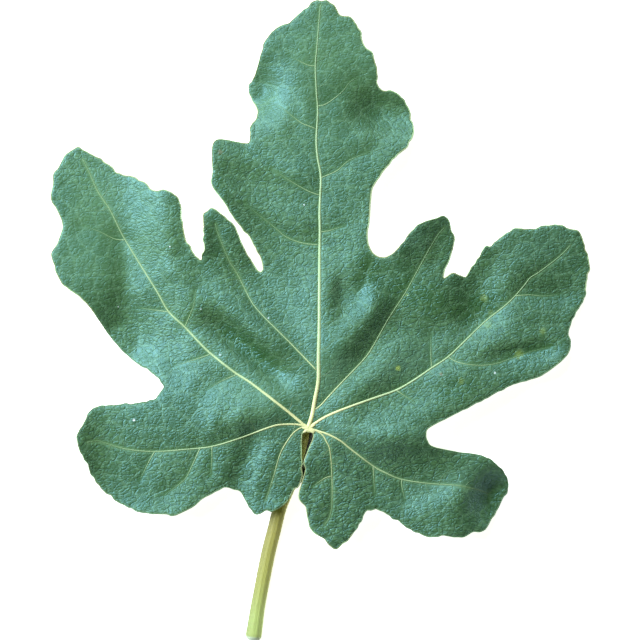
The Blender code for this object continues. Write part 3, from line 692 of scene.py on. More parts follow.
@dataclass
class Surface:
    """Points in the design's millimetres, triangles, and values kept at each point."""

    points: Array
    faces: Array
    values: dict[str, Array] = field(default_factory=dict)

    @staticmethod
    def joined(parts: list["Surface"]) -> "Surface":
        """One surface of all the parts, each keeping its own points and values.

        Args:
            parts: the parts, all with values of the same names.

        Returns:
            The surface.
        """
        starts = np.cumsum([0] + [len(part.points) for part in parts])
        faces = np.vstack([part.faces + start for part, start in zip(parts, starts)])
        names = parts[0].values
        values = {name: np.concatenate([part.values[name] for part in parts]) for name in names}
        return Surface(np.vstack([part.points for part in parts]), faces, values)

    def mesh(self, name: str) -> Mesh:
        """The surface as a smooth mesh in the row's frame, with its values as point attributes.

        Args:
            name: the mesh's name.

        Returns:
            The mesh.
        """
        mesh = bpy.data.meshes.new(name)
        placed = (self.points - np.array([*MIDDLE, 0.0])) * MM
        mesh.vertices.add(len(placed))
        mesh.vertices.foreach_set("co", placed.astype(np.float32).ravel())
        mesh.loops.add(self.faces.size)
        mesh.loops.foreach_set("vertex_index", self.faces.astype(np.int32).ravel())
        mesh.polygons.add(len(self.faces))
        mesh.polygons.foreach_set("loop_start", np.arange(0, self.faces.size, 3, dtype=np.int32))
        mesh.polygons.foreach_set("use_smooth", np.ones(len(self.faces), bool))
        mesh.update(calc_edges=True)
        for label, value in self.values.items():
            attribute = mesh.attributes.new(label, "FLOAT", "POINT")
            attribute.data.foreach_set("value", value.astype(np.float32))
        mesh.validate()
        return mesh


def read_mesh(mesh: Mesh) -> Surface:
    """A mesh in the row's frame as a surface in the design's millimetres, split into triangles.

    Args:
        mesh: the mesh.

    Returns:
        The surface, without values.
    """
    mesh.calc_loop_triangles()
    points = np.empty(len(mesh.vertices) * 3, np.float32)
    mesh.vertices.foreach_get("co", points)
    faces = np.empty(len(mesh.loop_triangles) * 3, np.int32)
    mesh.loop_triangles.foreach_get("vertices", faces)
    points = points.reshape(-1, 3).astype(float) / MM + np.array([*MIDDLE, 0.0])
    return Surface(points, faces.reshape(-1, 3))


def add_object(name: str, data: Any) -> Object:
    """A new object of the scene, at the origin."""
    made = bpy.data.objects.new(name, data)
    bpy.context.scene.collection.objects.link(made)
    return made


def piece(name: str, mesh: Mesh, slot: Slot, *finishes: Material) -> Object:
    """A finished piece at the origin that rides on the leaf's one body.

    Args:
        name: the piece's name.
        mesh: its mesh, in the row's frame.
        slot: the record's slot for the piece; not used.
        finishes: its materials, in the order of the mesh's material indices.

    Returns:
        The object.
    """
    for finish in finishes:
        mesh.materials.append(finish)
    made = add_object(name, mesh)
    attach(made, "root")
    log.info("%s: %d triangles", name, len(mesh.polygons))
    return made


def rings(path: Array, ahead: Array, radius: Any, sides: int, flatness: float = 1.0) -> Array:
    """A profile carried along a path: an ellipse square to the path at each of its points.

    Args:
        path: the centre line.
        ahead: the path's direction at each of its points, one long.
        radius: the radius at each point, or one for all.
        sides: points round the profile.
        flatness: the profile's height as a share of its width.

    Returns:
        The points, ring by ring.
    """
    side = unit(np.cross(ahead, [0.0, 0.0, 1.0]))
    up = np.cross(side, ahead)
    turn = np.linspace(0, 2 * np.pi, sides, endpoint=False)[None, :, None]
    ring = np.cos(turn) * side[:, None] + np.sin(turn) * flatness * up[:, None]
    return (path[:, None] + ring * np.reshape(radius, (-1, 1, 1))).reshape(-1, 3)


def walls(count: int, sides: int, ring_shaped: bool = False) -> Array:
    """The triangles between each two neighbouring rings.

    Args:
        count: how many rings there are.
        sides: points in a ring.
        ring_shaped: whether the last ring is joined to the first.

    Returns:
        The triangles, outward where the rings turn right-handed round their path.
    """
    corner = np.arange(count * sides).reshape(count, sides)
    near, far = (corner, np.roll(corner, -1, axis=0)) if ring_shaped else (corner[:-1], corner[1:])
    near_next, far_next = np.roll(near, -1, axis=1), np.roll(far, -1, axis=1)
    pairs = [np.stack([near, near_next, far_next], 2), np.stack([near, far_next, far], 2)]
    return np.vstack([pair.reshape(-1, 3) for pair in pairs])


def closed_walls(count: int, sides: int) -> Array:
    """The triangles of a row of rings with a pole at both ends; the two poles follow the rings' points."""
    first, last = np.arange(sides), np.arange((count - 1) * sides, count * sides)
    low, high = np.full(sides, count * sides), np.full(sides, count * sides + 1)
    caps = [np.stack([low, np.roll(first, -1), first], 1), np.stack([high, last, np.roll(last, -1)], 1)]
    return np.vstack([walls(count, sides)] + caps)


def tube(path: Array, radius: Array, sides: int, flatness: float = 1.0) -> Surface:
    """A profile carried along a path, closed at both ends by a pole that stands out a little.

    Args:
        path: the centre line.
        radius: the radius at each point of it.
        sides: points round the profile.
        flatness: the profile's height as a share of its width.

    Returns:
        The closed surface.
    """
    ahead = unit(np.gradient(path, axis=0))
    stand_out = ahead * radius[:, None] * POLE_REACH
    poles = [path[0] - stand_out[0], path[-1] + stand_out[-1]]
    points = np.vstack([rings(path, ahead, radius, sides, flatness), poles])
    return Surface(points, closed_walls(len(path), sides))


class Graph:
    """Adds nodes to a shader node tree and joins them."""

    def __init__(self, tree: NodeTree) -> None:
        """Starts from the given tree."""
        self.tree = tree

    def add(self, kind: str, inputs: dict | None = None, **settings: Any) -> Node:
        """Adds a node, with each input set to a value or linked from a socket.

        Args:
            kind: the node's kind, without its ShaderNode prefix.
            inputs: input name or number to value or socket.
            settings: the node's own properties.

        Returns:
            The node.
        """
        node = self.tree.nodes.new("ShaderNode" + kind)
        for name, value in settings.items():
            setattr(node, name, value)
        for name, value in (inputs or {}).items():
            if isinstance(value, NodeSocket):
                self.tree.links.new(value, node.inputs[name])
            else:
                node.inputs[name].default_value = value
        return node

    def math(self, operation: str, *values: Any) -> NodeSocket:
        """A Math node's result."""
        return self.add("Math", dict(enumerate(values)), operation=operation).outputs[0]

    def vector(self, operation: str, *values: Any) -> NodeSocket:
        """A Vector Math node's vector."""
        return self.add("VectorMath", dict(enumerate(values)), operation=operation).outputs[0]

    def line(self, value: Any, slope: float, start: Any) -> NodeSocket:
        """A value times a slope, plus a start."""
        return self.math("MULTIPLY_ADD", value, slope, start)

    def times(self, first: Any, second: Any) -> NodeSocket:
        """Two values multiplied."""
        return self.math("MULTIPLY", first, second)

    def mix(self, share: Any, first: Any, second: Any) -> NodeSocket:
        """Two colours mixed by a share."""
        return self.add("Mix", {0: share, 6: first, 7: second}, data_type="RGBA").outputs[2]

    def paint(self, colour: Any, *layers: tuple[Any, Any]) -> NodeSocket:
        """A colour with others laid over it in turn, each given as its share and itself."""
        for share, over in layers:
            colour = self.mix(share, colour, over)
        return colour

    def step(self, value: Any, low: float, high: float, top: float = 1.0) -> NodeSocket:
        """0 where the value is low, top where it is high, and smooth between."""
        sockets = {0: value, 1: low, 2: high, 3: 0.0, 4: top}
        return self.add("MapRange", sockets, interpolation_type="SMOOTHSTEP").outputs[0]

    def attribute(self, name: str) -> NodeSocket:
        """A value kept at the mesh's points."""
        return self.add("Attribute", attribute_name=name).outputs["Fac"]

    def part(self, name: str, share: float) -> NodeSocket:
        """A share of a value kept at the mesh's points."""
        return self.times(self.attribute(name), share)

    def place(self) -> NodeSocket:
        """The object's own coordinates, in metres."""
        return self.add("TexCoord").outputs["Object"]

    def noise(self, where: Any, scale: Any, detail: float = 2.0) -> NodeSocket:
        """Smooth noise from 0 to 1."""
        sockets = {"Vector": where, "Scale": scale, "Detail": detail}
        return self.add("TexNoise", sockets).outputs["Fac"]

    def borders(self, where: Any, scale: Any) -> NodeSocket:
        """Distance to the nearest border of random cells, as a share of their size."""
        sockets = {"Vector": where, "Scale": scale, "Randomness": 1.0}
        node = self.add("TexVoronoi", sockets, feature="DISTANCE_TO_EDGE")
        return node.outputs["Distance"]

    def group(self, tree: NodeTree, **values: float) -> Any:
        """Places a shared group on the object's coordinates.

        Args:
            tree: the group.
            values: its inputs here, by name with _ for each space.

        Returns:
            Its outputs.
        """
        node = self.add("Group", node_tree=tree)
        self.tree.links.new(self.place(), node.inputs["Vector"])
        for label, value in values.items():
            node.inputs[label.replace("_", " ")].default_value = value
        return node.outputs

    def finish(self, shader: Node, colour: Any, rough: Any, height: Any, strength: float,
               distance: float) -> None:
        """Links the shader's colour, roughness and fine relief.

        Args:
            shader: the Principled node.
            colour: its colour.
            rough: its roughness.
            height: the relief's height, from 0 to about 1.
            strength: how strongly the relief turns the normals.
            distance: how high 1 is, in metres.
        """
        bump = self.add("Bump", {"Height": height, "Strength": strength, "Distance": distance})
        self.tree.links.new(colour, shader.inputs["Base Color"])
        self.tree.links.new(rough, shader.inputs["Roughness"])
        self.tree.links.new(bump.outputs[0], shader.inputs["Normal"])


def new_group(name: str, inputs: dict[str, tuple], outputs: tuple[str, ...]) -> NodeTree:
    """An empty shader node group.

    Args:
        name: its name.
        inputs: input name to its socket type and, for a number, its value.
        outputs: names of its outputs, all numbers.

    Returns:
        The group, with its input and output nodes.
    """
    group = bpy.data.node_groups.new(name, "ShaderNodeTree")
    for label, (kind, *value) in inputs.items():
        socket = group.interface.new_socket(label, in_out="INPUT", socket_type="NodeSocket" + kind)
        if value:
            socket.default_value = value[0]
    for label in outputs:
        group.interface.new_socket(label, in_out="OUTPUT", socket_type="NodeSocketFloat")
    group.nodes.new("NodeGroupInput")
    group.nodes.new("NodeGroupOutput")
    return group


# How far the skin's cells are bent, in metres, and how they are stretched; then where the noises of the
# clouds and flecks begin and are full
GRAIN_BEND = 0.0012
GRAIN_STRETCH = (0.8, 1.2, 1.0)
CLOUD_STEP = (0.35, 0.65)
FLECK_STEP = (0.35, 0.75)


def leather_grain() -> NodeTree:
    """The fine relief of a leaf's skin: small raised cells parted by furrows, with a finer grain in them."""
    group = new_group("leather_grain", {
        "Vector": ("Vector",), "Cells": ("Float", 500.0), "Grain": ("Float", 2000.0),
        "Grain Share": ("Float", 0.3), "Width": ("Float", 0.3),
    }, ("Height", "Furrow"))
    graph = Graph(group)
    given, result = group.nodes["Group Input"].outputs, group.nodes["Group Output"].inputs
    bend = graph.add("TexNoise", {"Vector": given["Vector"], "Scale": 400.0, "Detail": 1.0})
    moved = graph.vector("SUBTRACT", bend.outputs["Color"], (0.5, 0.5, 0.5))
    bent = graph.vector("MULTIPLY_ADD", moved, (GRAIN_BEND,) * 3, given["Vector"])
    laid = graph.vector("MULTIPLY", bent, GRAIN_STRETCH)
    cells = graph.step(graph.borders(laid, given["Cells"]), 0.0, given["Width"])
    grain = graph.noise(given["Vector"], given["Grain"], 2.0)
    fine = graph.times(grain, given["Grain Share"])
    graph.tree.links.new(graph.math("ADD", cells, fine), result["Height"])
    graph.tree.links.new(graph.math("SUBTRACT", 1.0, cells), result["Furrow"])
    return group


def mottle() -> NodeTree:
    """Soft uneven colour: broad clouds and small flecks, both from 0 to 1."""
    group = new_group("mottle", {
        "Vector": ("Vector",), "Clouds": ("Float", 60.0), "Flecks": ("Float", 700.0),
    }, ("Cloud", "Fleck"))
    graph = Graph(group)
    given, result = group.nodes["Group Input"].outputs, group.nodes["Group Output"].inputs
    cloud = graph.step(graph.noise(given["Vector"], given["Clouds"], 4.0), *CLOUD_STEP)
    fleck = graph.step(graph.noise(given["Vector"], given["Flecks"], 3.0), *FLECK_STEP)
    graph.tree.links.new(cloud, result["Cloud"])
    graph.tree.links.new(fleck, result["Fleck"])
    return group


def new_material(name: str, roughness: float, **constants: Any) -> tuple[Material, Graph, Any]:
    """A material with its shader.

    Args:
        name: its name.
        roughness: the shader's roughness.
        constants: the shader's other settings, by input name with _ for each space.

    Returns:
        The material, its graph and its shader node.
    """
    material = bpy.data.materials.new(name)
    material.use_nodes = True
    shader = material.node_tree.nodes["Principled BSDF"]
    shader.inputs["Roughness"].default_value = roughness
    for label, value in constants.items():
        shader.inputs[label.replace("_", " ")].default_value = value
    return material, Graph(material.node_tree), shader


def rgb(red: float, green: float, blue: float) -> tuple[float, float, float, float]:
    """A colour for a socket, from its linear red, green and blue."""
    return (red, green, blue, 1.0)


@dataclass(frozen=True)
class Spot:
    """A spot on the upper face, in the design's millimetres."""

    place: Pair
    radius: float
    strength: float


YELLOW_SPOTS = (
    Spot((30.0, 20.4), 1.2, 0.9), Spot((33.0, 44.7), 0.8, 0.4), Spot((58.7, 43.7), 1.8, 0.25),
    Spot((61.0, 38.7), 1.6, 0.2), Spot((70.3, 25.0), 2.2, 0.35), Spot((78.3, 32.7), 1.6, 0.28),
    Spot((60.0, 34.7), 1.8, 0.2), Spot((51.0, 16.0), 1.6, 0.25),
)
BROWN_SPOTS = (Spot((44.3, 18.3), 0.9, 0.55), Spot((-29.3, 92.3), 1.2, 0.4))
PALE_SPECKS = (
    Spot((-1.3, 74.7), 0.35, 0.9), Spot((-46.0, 60.7), 0.4, 1.0), Spot((-63.3, 40.7), 0.35, 0.8),
    Spot((-13.3, 37.0), 0.35, 0.9), Spot((-58.0, 3.0), 0.55, 1.0), Spot((62.3, 18.7), 0.5, 1.0),
    Spot((-35.7, 40.0), 0.4, 0.5), Spot((-29.3, 24.7), 0.4, 0.5),
)


@dataclass(frozen=True)
class UpperFinish:
    """The blade's upper face: dark leathery green with a waxy blue-green specular sheen, and patches of
    painted highlight and painted shade.
    """

    deep: tuple = rgb(0.042, 0.112, 0.020)
    fresh: tuple = rgb(0.074, 0.168, 0.040)
    shade: tuple = rgb(0.018, 0.056, 0.010)
    fleck: tuple = rgb(0.180, 0.300, 0.170)
    net: tuple = rgb(0.170, 0.330, 0.150)
    yellow: tuple = rgb(0.360, 0.500, 0.080)
    brown: tuple = rgb(0.260, 0.200, 0.100)
    pale: tuple = rgb(0.750, 0.850, 0.800)
    painted_highlight: tuple = rgb(0.150, 0.320, 0.200)
    painted_shade: tuple = rgb(0.022, 0.078, 0.006)
    vein: tuple = rgb(0.300, 0.480, 0.190)
    rim: tuple = rgb(0.330, 0.520, 0.260)
    spot_noise: float = 1100.0
    spot_edge: tuple = (1.5, 0.7)

    def spots(self, graph: Graph, colour: Any, spots: tuple, paint: tuple) -> Any:
        """Lays round spots over a colour: their edges are soft, and ragged by a fine noise.

        Args:
            graph: the material's graph.
            colour: the colour below them.
            spots: the spots.
            paint: their colour.

        Returns:
            The colour with the spots.
        """
        for spot in spots:
            x, y = (np.array(spot.place) - MIDDLE) * MM
            radius = spot.radius * MM
            flat = graph.vector("MULTIPLY", graph.place(), (1.0, 1.0, 0.0))
            away = graph.add("VectorMath", {0: flat, 1: (x, y, 0.0)}, operation="DISTANCE")
            noise = graph.noise(graph.place(), self.spot_noise)
            ragged = graph.line(noise, radius, away.outputs["Value"])
            outer, inner = (share * radius for share in self.spot_edge)
            colour = graph.mix(graph.step(ragged, outer, inner, spot.strength), colour, paint)
        return colour

    def material(self, grain: NodeTree, clouds: NodeTree) -> Material:
        """The material: layers of colour by the mesh's values and the shared groups, and a fine relief.

        Args:
            grain: the skin's grain.
            clouds: the uneven colour.

        Returns:
            The material.
        """
        material, graph, shader = new_material(
            "leaf_upper", 0.5, IOR=1.6, Specular_IOR_Level=0.9, Specular_Tint=rgb(0.38, 0.84, 1.0),
            Sheen_Weight=0.05, Sheen_Roughness=0.5, Sheen_Tint=rgb(0.6, 0.95, 0.9),
        )
        uneven = graph.group(clouds, Clouds=55.0, Flecks=1500.0)
        skin = graph.group(grain, Cells=700.0, Grain=2600.0, Grain_Share=0.25, Width=0.28)
        cracks = graph.group(grain, Cells=330.0, Grain=900.0, Grain_Share=0.5, Width=0.09)
        wrinkle = graph.attribute("wrinkle")
        lines = graph.times(graph.times(cracks["Furrow"], wrinkle), uneven["Cloud"])
        colour = graph.paint(
            self.deep,
            (uneven["Cloud"], self.fresh),
            # painted shade: the furrows of the skin and of its cracks are darkened
            (graph.part("furrow", 0.35), self.deep),
            (graph.times(graph.times(skin["Furrow"], wrinkle), 0.55), self.shade),
            (graph.times(lines, 0.8), self.shade),
            (graph.times(uneven["Fleck"], 0.16), self.fleck),
            # painted highlight in patches: a paler blue-green
            (graph.part("painted_highlight", 0.32), self.painted_highlight),
            # painted shade in patches: a deeper green
            (graph.part("painted_shade", 0.6), self.painted_shade),
            (graph.part("net", 0.36), self.net),
            (graph.part("vein", 0.16), self.vein),
        )
        paints = (self.yellow, self.brown, self.pale)
        for spots, paint in zip((YELLOW_SPOTS, BROWN_SPOTS, PALE_SPECKS), paints):
            colour = self.spots(graph, colour, spots, paint)
        colour = graph.mix(graph.part("rim", 0.15), colour, self.rim)
        # the patches of painted shade are also smoother
        rough = graph.line(graph.attribute("painted_shade"), -0.13, graph.line(uneven["Fleck"], 0.10, 0.49))
        height = graph.math("ADD", skin["Height"], graph.times(cracks["Height"], 0.8))
        height = graph.times(height, graph.line(wrinkle, 0.8, 0.2))
        graph.finish(shader, colour, rough, height, 0.9, 0.00012)
        return material


@dataclass(frozen=True)
class LowerFinish:
    """The blade's lower face: pale, matt and felted, with a raised net of fine veins."""

    ground: tuple = rgb(0.190, 0.310, 0.140)
    soft: tuple = rgb(0.240, 0.370, 0.185)
    net: tuple = rgb(0.350, 0.470, 0.240)

    def material(self, grain: NodeTree, clouds: NodeTree) -> Material:
        """The material: layers of colour over a pale ground, the net of veins raised.

        Args:
            grain: the skin's grain, whose furrows are the net.
            clouds: the uneven colour.

        Returns:
            The material.
        """
        material, graph, shader = new_material(
            "leaf_lower", 0.8, Specular_IOR_Level=0.25, Sheen_Weight=0.12, Sheen_Roughness=0.6,
        )
        uneven = graph.group(clouds, Clouds=70.0, Flecks=1500.0)
        net = graph.group(grain, Cells=420.0, Grain=3200.0, Grain_Share=0.5)
        colour = graph.paint(
            self.ground, (uneven["Cloud"], self.soft), (net["Furrow"], self.net),
            (graph.attribute("furrow"), self.net), (graph.times(uneven["Fleck"], 0.3), self.net),
        )
        raised = graph.line(uneven["Fleck"], 0.3, net["Furrow"])
        graph.finish(shader, colour, graph.line(uneven["Fleck"], 0.1, 0.75), raised, 0.8, 0.00018)
        return material


@dataclass(frozen=True)
class VeinFinish:
    """A cord of vein: pale yellow-green, fading into the blade's green towards its tip."""

    name: str = "vein_upper"
    pale: tuple = rgb(0.485, 0.665, 0.345)
    warm: tuple = rgb(0.420, 0.590, 0.290)
    cream: tuple = rgb(0.790, 0.800, 0.370)
    faded: tuple = rgb(0.090, 0.210, 0.085)

    def material(self, clouds: NodeTree) -> Material:
        """The material: the pale colour, cream at the hub, faded by the mesh's own value.

        Args:
            clouds: the uneven colour.

        Returns:
            The material.
        """
        material, graph, shader = new_material(self.name, 0.45, Specular_IOR_Level=0.4)
        uneven = graph.group(clouds, Clouds=160.0, Flecks=1600.0)
        colour = graph.paint(
            self.pale, (uneven["Cloud"], self.warm), (graph.attribute("hub"), self.cream),
            (graph.attribute("fade"), self.faded),
        )
        graph.finish(shader, colour, graph.line(uneven["Fleck"], 0.15, 0.38), uneven["Fleck"], 0.4, 0.00005)
        return material


@dataclass(frozen=True)
class StalkFinish:
    """The stalk and the ribs below: olive at the blade, lime along the stalk, whitish at the cut."""

    umber: tuple = rgb(0.560, 0.500, 0.150)
    olive: tuple = rgb(0.520, 0.480, 0.110)
    lime: tuple = rgb(0.600, 0.620, 0.140)
    fresh: tuple = rgb(0.640, 0.820, 0.230)
    rib: tuple = rgb(0.460, 0.560, 0.240)
    cut: tuple = rgb(0.560, 0.680, 0.480)
    fleck: tuple = rgb(0.560, 0.600, 0.220)
    # the colour of the shade painted on the stalk
    dark: tuple = rgb(0.004, 0.004, 0.002)

    def material(self, clouds: NodeTree) -> Material:
        """The material: "down" is the share of the stalk travelled from the blade, "rib" 1 on a rib.

        Args:
            clouds: the uneven colour.

        Returns:
            The material.
        """
        material, graph, shader = new_material(
            "stalk", 0.5, Specular_IOR_Level=0.2, Sheen_Weight=0.05, Sheen_Roughness=0.5,
        )
        uneven = graph.group(clouds, Clouds=150.0, Flecks=1300.0)
        down = graph.attribute("down")
        colour = graph.paint(
            self.umber,
            (graph.step(down, 0.16, 0.4), self.olive),
            (graph.step(down, 0.45, 0.75), self.lime),
            (graph.step(down, 0.7, 0.95), self.fresh),
            (graph.attribute("rib"), self.rib),
            (graph.times(uneven["Fleck"], 0.35), self.fleck),
            # painted shade: the stalk's left side is darkened, where the lamps light it most
            (graph.line(graph.attribute("unshaded_flank"), -0.66, 0.66), self.dark),
            (graph.attribute("cut"), self.cut),
            # painted shade: the stalk's upper right in the slot is nearly black
            (graph.attribute("painted_slot_shade"), self.dark),
        )
        raised = graph.line(uneven["Fleck"], 0.4, graph.attribute("fibre"))
        graph.finish(shader, colour, graph.line(uneven["Fleck"], 0.2, 0.42), raised, 0.6, 0.0001)
        return material


@dataclass(frozen=True)
class HairFinish:
    """Short stiff hairs: pale and slightly glossy, uneven from hair to hair."""

    colour: tuple = rgb(0.520, 0.580, 0.300)
    darker: tuple = rgb(0.380, 0.440, 0.200)

    def material(self, clouds: NodeTree) -> Material:
        """The material: two colours, by the clouds.

        Args:
            clouds: the uneven colour.

        Returns:
            The material.
        """
        material, graph, shader = new_material("hair", 0.4, Specular_IOR_Level=0.5)
        uneven = graph.group(clouds, Clouds=300.0, Flecks=2500.0)
        colour = graph.mix(uneven["Cloud"], self.colour, self.darker)
        graph.finish(shader, colour, graph.line(uneven["Fleck"], 0.1, 0.35), uneven["Fleck"], 0.1, 0.00001)
        return material


@dataclass
class Blade:
    """The blade: two triangulated sheets that share one closely spaced margin, closed by a thin wall.

    ladder_shift moves each vein's cells off the last one's. An edge, width or halo is the distance at
    which a bell has fallen to 1/e. vein_clear is how far from a vein the relief begins and is full, and
    under_clear how high over the surface the lower face's does.
    """

    form: BladeForm
    margin_spacing: float = 0.6
    upper_spacing: float = 0.58
    lower_spacing: float = 0.95
    clearance: float = 0.6
    thickness: float = 0.6
    rim_thickness: float = 0.34
    rim_width: float = 1.1
    under_relief: float = 0.5
    under_clear: Pair = (0.1, 0.6)
    ladder: Honeycomb = field(default_factory=lambda: Honeycomb(2.3, 0.36, 21))
    ladder_stretch: float = 2.4
    ladder_shift: float = 9.7
    ladder_depth: float = 0.08
    ladder_edge: float = 0.9
    pebbles: Honeycomb = field(default_factory=lambda: Honeycomb(1.7, 0.36, 33))
    pebble_depth: float = 0.012
    pebble_edge: float = 0.6
    block_edge: float = 0.9
    net_width: float = 0.5
    vein_clear: Pair = (0.25, 1.1)
    vein_halo: float = 0.6
    rim_halo: float = 0.5
    strength: float = 0.75
    strength_at_base: float = 0.35
    outline: Array = field(init=False)

    def __post_init__(self) -> None:
        """Finds the margin."""
        self.outline = wavy_margin(self.margin_spacing)[::-1]

    def sheet(self, spacing: float) -> tuple[Array, Array]:
        """A honeycomb of points inside the margin, joined into triangles with it.

        Args:
            spacing: the distance between two of its points.

        Returns:
            The points, the margin's first, and the triangles, all counter-clockwise from above.
        """
        low, high = self.outline.min(axis=0), self.outline.max(axis=0)
        rows = np.arange(low[1], high[1], spacing * HONEYCOMB_ROW)
        columns = np.arange(low[0], high[0], spacing)
        x, y = np.meshgrid(columns, rows)
        x[1::2] += spacing / 2
        points = np.stack([x.ravel(), y.ravel()], axis=1)
        points = points[inside(points, self.outline)]
        points = points[nearest_gap(points, self.outline) > self.clearance * spacing]
        points = np.vstack([self.outline, points])
        count = len(self.outline)
        edges = np.stack([np.arange(count), np.roll(np.arange(count), -1)], 1)
        made = delaunay_2d_cdt(points.tolist(), edges.tolist(), [], 1, WELD)
        faces = np.array(made[2])
        a, b, c = points[faces].transpose(1, 0, 2)
        turned = np.cross(b - a, c - a) < 0
        faces[turned] = faces[turned][:, ::-1]
        return points, faces

    def details(self, points: Array) -> dict[str, Array]:
        """The finest relief at each point and what the finishes need to know there.

        The fine cells are laid along the nearest vein: short along it and long away from it, like the
        rungs of a ladder. Smaller round pebbles lie between them. Both fade towards the veins.

        Args:
            points: the points in plan.

        Returns:
            The values at each point, by name.
        """
        best, to_main = np.full((2, len(points)), np.inf)
        place = np.zeros((len(points), 2))
        paths = [vein.path + vein.tip for vein in VEINS.values()]
        for index, path in enumerate(paths + list(SIDE_VEINS.values())):
            near = near_line(points, spaced(path, LINE_SPACING))
            closer = near.distance < best
            best[closer] = near.distance[closer]
            across = near.distance * near.side / self.ladder_stretch
            laid = np.stack([near.along, across + self.ladder_shift * index], 1)
            place[closer] = laid[closer]
            if index < len(paths):
                to_main = np.minimum(to_main, near.distance)
        ladder = 1 - bell(self.ladder.borders(place), self.ladder_edge)
        pebble = 1 - bell(self.pebbles.borders(points), self.pebble_edge)
        to_block = self.form.blocks.borders(points)
        off_vein = smooth_step(best, *self.vein_clear)
        strength = self.strength + self.strength_at_base * self.form.at_base(points)
        for place, reach, share in CALM:
            strength *= 1 - share * bell(away_from(points, place), reach)
        strength *= off_vein
        relief = strength * (self.ladder_depth * ladder + self.pebble_depth * pebble)
        to_margin = nearest_gap(points, self.outline)
        return {
            "relief": relief - strength.max() * self.ladder_depth * 0.5,
            "furrow": (1 - ladder * 0.5 - (1 - bell(to_block, self.block_edge)) * 0.5) * off_vein,
            "wrinkle": np.clip(strength, 0, 1),
            "net": bell(to_block, self.net_width) * off_vein,
            "vein": bell(to_main, self.vein_halo),
            "rim": bell(to_margin, self.rim_halo),
            # where highlight and shade are painted on the upper face, in patches
            "painted_highlight": self.form.patches(points, PAINTED_HIGHLIGHTS),
            "painted_shade": self.form.patches(points, PAINTED_SHADE_PATCHES),
            "to_margin": to_margin,
        }

    def build(self, upper: Material, lower: Material) -> Object:
        """Makes the closed blade, with its own finish on each face.

        Both faces lie under the form's own, because this blade is thinner than its solid. A wall of two
        triangles between each two points of the margin closes it.

        Args:
            upper: the upper face's material.
            lower: the lower face's material.

        Returns:
            The blade.
        """
        count = len(self.outline)
        plan, faces = self.sheet(self.upper_spacing)
        under_plan, under_faces = self.sheet(self.lower_spacing)
        over, under = self.details(plan), self.details(under_plan)
        top = self.form.top(plan) + over["relief"] - self.pinch(over["to_margin"])
        full = self.form.thickness * self.form.steepness(under_plan)
        flat_top = self.form.top(under_plan) - self.pinch(under["to_margin"])
        thin = self.rim_thickness + (self.thickness - self.rim_thickness) * self.rise(under["to_margin"])
        bottom = np.maximum(flat_top - thin * full / self.form.thickness, 0.0)
        bottom += self.under_relief * (under["relief"] * smooth_step(bottom, *self.under_clear))
        upper_part = Surface(np.column_stack([plan, top]), faces, self.kept(over))
        lower_part = Surface(np.column_stack([under_plan, bottom]), under_faces[:, ::-1], self.kept(under))
        near, far = np.arange(count), np.roll(np.arange(count), -1)
        start = len(plan)
        wall = np.vstack([
            np.stack([near, start + near, start + far], 1), np.stack([near, start + far, far], 1),
        ])
        whole = Surface.joined([upper_part, lower_part])
        whole.faces = np.vstack([whole.faces, wall])
        mesh = whole.mesh("blade")
        finish = np.zeros(len(whole.faces), np.int32)
        finish[len(faces):len(faces) + len(under_faces)] = 1
        mesh.polygons.foreach_set("material_index", finish)
        made = piece("blade", mesh, Slot.BLADE, upper, lower)
        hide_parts("leaf_blade")
        return made

    def rise(self, to_margin: Array) -> Array:
        """0 at the margin, 1 where the blade has its whole thickness."""
        return 1 - bell(to_margin, self.rim_width)

    def pinch(self, to_margin: Array) -> Array:
        """How far the upper face lies under its solid's: the blade is thinner, most at its margin."""
        margin = (self.form.thickness - self.rim_thickness) / 2
        inner = (self.form.thickness - self.thickness) / 2
        return inner + (margin - inner) * (1 - self.rise(to_margin))

    def kept(self, details: dict[str, Array]) -> dict[str, Array]:
        """The values that the finishes read."""
        return {name: details[name] for name in details if name not in ("relief", "to_margin")}


@dataclass
class Margin:
    """The thickened edge of the blade: a fine cord all along its margin.

    It is pale in the slot beside the stalk and round the left lobe, and uneven all along.
    """

    form: BladeForm
    radius: float = 0.23
    spacing: float = 0.7
    sides: int = 6
    slot: Pair = (-0.8, -12.0)
    slot_reach: Pair = (4.0, 12.0)
    pale_lobe: Pair = (60.0, 80.0)
    lobe_share: float = 0.6
    patch_waves: Pair = (0.21, 0.17)
    patch_share: float = 0.3
    greenest: float = 1.05
    palest: float = 0.05

    def build(self, finish: Material) -> Object:
        """Makes the cord as a closed ring, its profile carried along the margin.

        Args:
            finish: its material.

        Returns:
            The cord.
        """
        plan = wavy_margin(self.spacing)
        height = np.maximum(self.form.top(plan) - self.form.thickness / 2, self.radius)
        path = np.column_stack([plan, height])
        ahead = unit(np.roll(path, -1, axis=0) - np.roll(path, 1, axis=0))
        points = rings(path, ahead, self.radius, self.sides)
        fade = np.repeat(self.fading(plan), self.sides)
        cord = Surface(points, walls(len(path), self.sides, ring_shaped=True), {"fade": fade})
        return piece("margin", cord.mesh("margin"), Slot.BLADE, finish)

    def fading(self, plan: Array) -> Array:
        """How green the margin is: least in the slot and round the left lobe, less by turns elsewhere.

        Args:
            plan: its points in plan.

        Returns:
            The share of green at each point.
        """
        x, y = plan.T
        across, along = (x - self.slot[0]) / self.slot_reach[0], (y - self.slot[1]) / self.slot_reach[1]
        slot = np.exp(-(across**2 - along**4))
        left = smooth_step(-x, *self.pale_lobe) * self.lobe_share
        patches = self.patch_share * (1 + np.sin(x * self.patch_waves[0]) * np.cos(y * self.patch_waves[1]))
        return np.clip(self.greenest - slot - left - 0.5 * patches, self.palest, 1.0)


